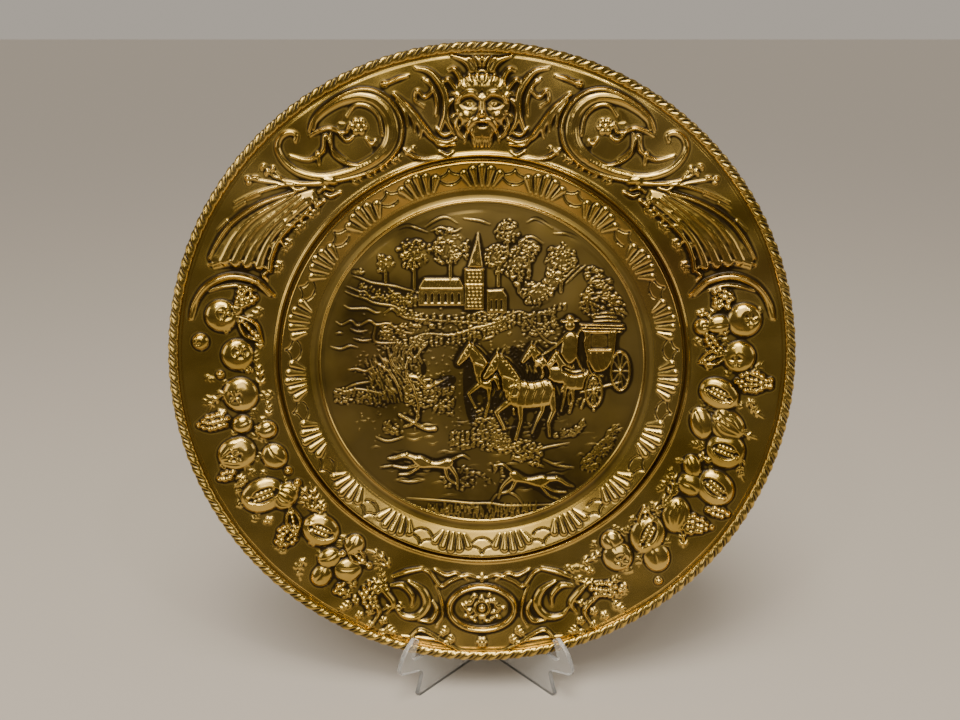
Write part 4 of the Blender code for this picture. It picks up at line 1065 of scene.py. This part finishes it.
def horse(figures, x, y, size, raised=False):
    """Harnessed horse from its near side, going to the left, with its withers at x and y."""
    place = motif(0, 0)

    def spots(points):
        return place(np.array(points, dtype=float) * size + (x, y))
    body = curve([(0, 2), (14, -2), (28, 1), (36, -4), (38, -14), (33, -24), (22, -27), (8, -28),
                  (-4, -26), (-12, -16), (-10, -4), (0, 2)], 6)
    neck = curve([(4, 2), (-4, 14), (-14, 24), (-20, 22), (-21, 14), (-16, 2), (-12, -12), (2, -8),
                  (4, 2)], 6)
    head = curve([(-14, 25), (-20, 27), (-27, 17), (-34, 4), (-31, 0), (-25, 4), (-17, 13), (-14, 25)], 6)
    figures.fill(spots(body), figure_rise, 7 * size)
    figures.fill(spots(neck), figure_rise * 0.95, 5 * size)
    figures.fill(spots(head), figure_rise, 4 * size)
    knee = (-20, -32) if raised else (-8, -38)
    hoof = (-12, -48) if raised else (-12, -56)
    for line, widths in (
            (((-6, -20), knee, hoof), (4.4, 2.4, 1.6)), (((3, -22), (4, -40), (-1, -58)), (4.4, 2.4, 1.7)),
            (((33, -14), (36, -30), (31, -42), (32, -55)), (5.4, 3.0, 2.0, 1.6)),
            (((26, -16), (25, -30), (19, -42), (15, -52)), (4.6, 2.6, 1.8, 1.5))):
        path = spots(line)
        figures.stroke(path, [w * size for w in widths], figure_rise * 0.85)
    figures.dome(spots([hoof])[0], 2.4 * size, 1.6 * size, figure_rise * 0.7)
    for line in (((-14, 25), (-6, 20), (4, 8), (4, 2)), ((-20, 26), (-18, 31)), ((-15, 26), (-12, 31)),
                 ((38, -4), (42, -16), (40, -30))):
        figures.stroke(spots(curve(line)), (1.3 * size, 0.9 * size), 0.9, mode="on")
    for line in (((-30, 8), (-22, 12)), ((-27, 17), (-21, 11)), ((-18, 22), (-20, 13)),
                 ((2, 2), (-8, -10), (-8, -22)), ((5, 1), (-5, -10), (-5, -24)),
                 ((-24, 8), (-2, 0))):
        figures.stroke(spots(curve(line)), (0.55, 0.55), 0.75, mode="on")
    figures.dome(spots([(-21, 20)])[0], 0.9, 0.9, 0.7, mode="cut")
    for x in range(5, 36, 4):
        fold = [(x, 0), (x + 2.5, -8), (x, -16), (x - 1, -25)]
        figures.stroke(spots(curve(fold)), (0.7, 1.2, 1.0, 0.5), 1.2, mode="on")
    ring = spiral((-2, -10), 5.4, 5.4, 0, 360)
    figures.stroke(spots(ring), (0.8, 0.8), 0.9, mode="on")
    for number in range(6):
        start = np.array((-12.0, 24.0)) + number * np.array((2.8, -3.6))
        figures.stroke(spots([start, start + (-4, -3)]), (0.6, 0.3), 0.6, mode="on")


def coach(figures):
    """Closed coach on four wheels, with its driver on the box."""
    shell = curve([(99, 36), (101, 20), (104, 4), (110, -6), (122, -3), (129, 12), (132, 36)], 5)
    figures.fill(shell, 2.6, 3.0)
    for y, low, high in ((41, 96, 138), (38, 97, 139), (35, 98, 136)):
        figures.stroke([(low, y), (high, y - 1)], (0.8, 0.9), 3.0)
    for y, low, high in ((45, 109, 135), (49, 112, 131), (53, 116, 127)):
        figures.stroke(curve([(low, y - 1), ((low + high) / 2, y), (high, y - 1)]), (0.8, 1.3, 0.8), 2.0)
    for line in (((103, 40), (95, 34), (92, 18), (94, 4), (101, -8)), ((104, 34), (100, 24), (103, 8)),
                 ((106, 14), (103, 4), (108, -8), (118, -10)), ((130, 33), (128, 14), (122, -2))):
        figures.stroke(curve(line), (0.7, 1.1, 0.7), 2.8)
    figures.fill([(105, 17), (105, 33), (124, 33), (124, 17)], 1.3, 1.0, "cut")
    figures.stroke([(104, 16), (126, 16)], (0.8, 0.8), 1.0, mode="on")
    for x in (106, 112, 118):
        figures.stroke(curve([(x, 13), (x + 2, 2), (x + 4, -3)]), (0.6, 0.5), 0.8, mode="on")
    for x, y, wide, tall in ((109, -24, 8.0, 16.0), (135, -5, 9.0, 19.0)):
        hub = np.array((x, y), dtype=float)
        angles = np.linspace(0, 2 * math.pi, 33)
        rim = hub + np.stack((wide * np.cos(angles), tall * np.sin(angles)), axis=-1)
        figures.stroke(rim, (1.2, 1.2), 2.4, power=0.6)
        for angle in np.linspace(0, 2 * math.pi, 10, endpoint=False):
            end = hub + np.array((wide * math.cos(angle), tall * math.sin(angle)))
            figures.stroke([hub, end], (0.5, 0.45), 1.7)
        figures.dome(hub, 1.9, 2.4, 2.8)
    figures.fill(curve([(76, 12), (80, 30), (88, 34), (94, 28), (92, 8), (84, 2), (76, 12)], 5), 2.6, 4.0)
    figures.dome((86, 40), 5.2, 5.4, 3.0)
    figures.stroke([(78, 44), (94, 45)], (1.2, 1.2), 3.2)
    figures.dome((86, 47), 4.2, 3.4, 3.4)
    figures.stroke(curve([(82, 30), (70, 18), (54, 8)]), (1.8, 1.2, 0.6), 2.4)
    figures.stroke(curve([(74, 22), (62, 26), (40, 52)]), (0.5, 0.4), 1.4)
    figures.stroke(curve([(80, -2), (90, -6), (100, -4)]), (1.4, 1.8, 1.2), 1.8)
    figures.stroke([(96, -26), (135, -16)], (1.0, 1.0), 1.4)


def hound(figures, center, mirror, turn):
    """Hound at full stretch, running to the left."""
    angle = math.radians(turn)

    def spots(points):
        drawn = np.array(points, dtype=float) * (mirror, 1)
        c, s = math.cos(angle), math.sin(angle)
        return np.array(center) + drawn @ np.array(((c, s), (-s, c)))
    figures.fill(spots(curve([(-16, 4), (-8, 6), (6, 1), (18, 5), (24, 2), (20, -5), (6, -5),
                              (-8, -6), (-16, 0), (-16, 4)], 5)), 2.4, 3.4)
    figures.lines(spots, (
        (((-14, 3), (-24, 5), (-33, 2), (-40, 1)), (3.0, 2.4, 2.0, 0.9)),
        (((-10, -3), (-22, -7), (-34, -6)), (2.2, 1.3, 0.8)),
        (((-8, -4), (-18, -12), (-28, -14)), (2.0, 1.2, 0.8)),
        (((20, -1), (28, -12), (30, -24)), (3.2, 1.6, 0.8)),
        (((16, -2), (20, -14), (30, -20)), (2.6, 1.3, 0.8)),
        (((22, 4), (32, 9), (40, 6)), (1.0, 0.8, 0.4)),
        (((-22, 7), (-18, 2)), (1.3, 0.9)),
    ), 2.2)
    for x in (-8, -3, 2):
        figures.stroke(spots([(x, 4), (x + 1, -4)]), (0.3, 0.3), 0.5, mode="cut")


country()
church()
for figure_set in (((86, -4, 0.72, False), (62, 2, 0.72, False)), ((4, 0, 0.86, True),),
                   ((34, -14, 1.0, True),)):
    team = roundel_relief()
    for x, y, size, raised in figure_set:
        horse(team, x, y, size, raised)
    roundel.lay(team, 1.2)
carriage = roundel_relief()
coach(carriage)
roundel.lay(carriage, 1.0)
pack = roundel_relief()
hound(pack, (-52, -95), 1, -4)
hound(pack, (50, -112), -1, -11)
roundel.lay(pack, 1.0)
finish_relief(roundel, ((83.0, 0.2, 0.18), (57.0, 1.4, 0.14), (35.0, 2.5, 0.07)), 0.35)

# Painted shade: gaps round the team and the coach, as ellipses, are painted darker than the rest, where
# shade falls between legs and bodies.
u_net, v_net = np.meshgrid(roundel.axis, roundel.axis)
for place_u, place_v, wide, tall, turn in (
        (-12, -25, 6, 32, 4), (13, -35, 11, 6, 0), (35, 7, 6, 14, 25), (48, -12, 18, 6, -20),
        (65, -5, 4, 13, 0), (35, -58, 5, 16, -25), (53, -62, 5, 11, -12), (78, -38, 6, 11, 0),
        (-36, -16, 11, 6, 20), (-57, -3, 3, 6, 0),
        (6, 6, 8, 5, -20), (96, -14, 4, 11, 0), (24, -45, 5, 8, 0)):
    turned = math.radians(turn)
    across = (u_net - place_u) * math.cos(turned) + (v_net - place_v) * math.sin(turned)
    upward = (v_net - place_v) * math.cos(turned) - (u_net - place_u) * math.sin(turned)
    inside = np.clip(1.1 - (across / wide) ** 2 - (upward / tall) ** 2, 0, 1)
    roundel.recess += 0.95 * inside ** 0.7 * np.clip(1.15 - roundel.height / 1.9, 0, 1)
edge_fade = np.clip((roundel_radius - 1 - np.hypot(u_net, v_net)) / 3, 0, 1)
roundel.height *= edge_fade
roundel.slopes = np.gradient(roundel.height, roundel.step)

# Each half is a fan of three sectors, with one point more on each ring in each of them.
steps = 226
spacing = roundel_radius / steps
for piece_name, sectors in (("roundel_right", (0, 1, 2)), ("roundel_left", (3, 4, 5))):
    first_of = []
    points_u, points_v = [], []
    total = 0
    for ring in range(steps + 1):
        count = 3 * ring + 1
        angles = np.radians(60 * sectors[0]) + np.pi * np.arange(count) / max(count - 1, 1)
        first_of.append(total)
        total += count
        points_u.append(ring * spacing * np.sin(angles))
        points_v.append(ring * spacing * np.cos(angles))
    triangles = []
    for ring in range(steps):
        for sector in range(3):
            inner = first_of[ring] + sector * ring + np.arange(ring + 1)
            outer = first_of[ring + 1] + sector * (ring + 1) + np.arange(ring + 2)
            triangles.append(np.stack((inner, outer[1:], outer[:-1]), axis=1))
            triangles.append(np.stack((inner[:-1], inner[1:], outer[1:-1]), axis=1))
    u, v = np.concatenate(points_u), np.concatenate(points_v)
    # the country scene is drawn as the camera sees it, so the sheet's places are turned into that
    drawn = (u * (1 + 0.00017 * v), (v + 1) * (1 + 0.00022 * v))
    # The roundel's low flats take strong painted shade with patina, by ground.
    make_sheet(piece_name, *pressed(roundel, u, v, 1.4, 0.77, drawn), np.concatenate(triangles))

# The easel
# Two clear plastic panels, polished all over and set in a V, with hooked arms whose prongs
# hold the rim, and what joins them at the back. The solids of the frame stay as they are.


def plain_material(name, color, roughness):
    """New material of one color all over, and its shader."""
    material, shader, _ = shader_of(name)
    shader.inputs["Base Color"].default_value = color
    shader.inputs["Roughness"].default_value = roughness
    return material, shader


clear, clear_shader = plain_material("clear_plastic", (0.93, 0.93, 0.92, 1), 0.10)
clear_shader.inputs["IOR"].default_value = 1.22
clear_shader.inputs["Transmission Weight"].default_value = 0.84
for node_name in ("easel_panel_left", "easel_panel_right", "easel_hinge_post"):
    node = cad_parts[node_name]
    node.data.materials.clear()
    node.data.materials.append(clear)
    rounding = node.modifiers.new("rounded edges", "BEVEL")
    rounding.width = 0.7 * mm
    rounding.segments = 2
    rounding.limit_method = "ANGLE"
    rounding.angle_limit = math.radians(35)

# The floor
# A plain pale surface, which isn't part of the plate.
bpy.ops.object.select_all(action="DESELECT")
bpy.ops.mesh.primitive_plane_add(size=600)
floor = bpy.context.object
floor.name = "floor"
floor.data.materials.append(plain_material("pale_floor", (0.56, 0.51, 0.45, 1), 0.75)[0])


# Light
# Soft lamps above and in front, and a dim room, dark ahead of the plate, that it reflects. A
# dark flag over the floor ahead is seen in reflections alone: it keeps the pale floor out of
# the polished front, as the dark room does in the photo.


def lamp(name, place, aim, size, power, color):
    """Square soft lamp that faces a point."""
    data = bpy.data.lights.new(name, "AREA")
    data.size = size
    data.energy = power
    data.color = color
    thing = bpy.data.objects.new(name, data)
    bpy.context.scene.collection.objects.link(thing)
    thing.location = place
    run = np.array(aim) - np.array(place)
    thing.rotation_euler = (math.acos(-run[2] / np.linalg.norm(run)), 0,
                            math.atan2(run[0], -run[1]) + math.pi)


lamp("ceiling", (0.0, -1.0, 2.6), (0, 0, 0.3), 1.1, 34, (1.0, 0.93, 0.80))
lamp("front_panel", (0.0, -2.5, 1.8), (0, 0, 0.3), 1.5, 18, (1.0, 0.92, 0.78))
lamp("cloth_glow", (0.0, -1.05, 0.02), (0, -1.06, 1.0), 0.6, 1.1, (1.0, 0.70, 0.42))
bpy.data.lights["cloth_glow"].spread = math.radians(146)
lamp("left_panel", (-1.7, -0.5, 0.9), (0, 0, 0.35), 1.0, 6, (1.0, 0.93, 0.84))
lamp("right_panel", (1.8, -0.4, 1.0), (0, 0, 0.35), 0.9, 4, (1.0, 0.93, 0.84))
lamp("left_bulb", (-0.9, -1.9, 2.1), (0, 0, 0.3), 0.16, 5, (1.0, 0.95, 0.84))
lamp("right_bulb", (0.8, -1.6, 2.3), (0, 0, 0.3), 0.16, 5, (1.0, 0.95, 0.84))
bpy.ops.object.select_all(action="DESELECT")
bpy.ops.mesh.primitive_plane_add(size=1)
flag = bpy.context.object
flag.name = "dark_flag"
bpy.ops.object.mode_set(mode="EDIT")
bpy.ops.transform.resize(value=(300, 300, 1), center_override=(0, 0, 0))
bpy.ops.transform.translate(value=(0, -150.5, 0.0005))
bpy.ops.object.mode_set(mode="OBJECT")
flag.visible_camera = False
flag.visible_diffuse = False
flag.visible_shadow = False
flag.data.materials.append(plain_material("dark_flag", (0.085, 0.075, 0.05, 1), 1.0)[0])
data = bpy.data.lights.new("window_light", "SUN")
data.energy = 1.5
data.angle = math.radians(30)
data.color = (1.0, 0.95, 0.88)
window_light = bpy.data.objects.new("window_light", data)
bpy.context.scene.collection.objects.link(window_light)
window_light.rotation_euler = (math.radians(32), 0, math.radians(-14))
room = bpy.data.worlds.new("room")
bpy.context.scene.world = room
room.use_nodes = True
sky = room.node_tree.nodes["Background"]
wire = Wire(room.node_tree)
way = wire.node("ShaderNodeTexCoord", output=0)
behind = wire.node("ShaderNodeSeparateXYZ", {}, {0: way}, 1).between(-0.1, 0.5)
room.node_tree.links.new(behind.mix((0.115, 0.10, 0.07, 1), (0.46, 0.415, 0.36, 1)).socket,
                         sky.inputs["Color"])
sky.inputs["Strength"].default_value = 1.0

# Camera
# In front of the plate and above it, as close as the photograph was taken.
camera_distance = 1000.0
camera_rise = math.radians(17.8)
focal_pixels = 1019.0
picture_width = 960.0
aim_right, aim_down = 2.0, 4.2
data = bpy.data.cameras.new("camera")
camera = bpy.data.objects.new("camera", data)
bpy.context.scene.collection.objects.link(camera)
camera.location = (0, (plate_center_y - camera_distance * math.cos(camera_rise)) * mm,
                   (plate_center_z + camera_distance * math.sin(camera_rise)) * mm)
camera.rotation_euler = (math.pi / 2 - camera_rise, 0, 0)
data.sensor_width = 36.0
data.lens = data.sensor_width * focal_pixels / picture_width
data.shift_x = -aim_right / picture_width
data.shift_y = aim_down / picture_width
bpy.context.scene.camera = camera
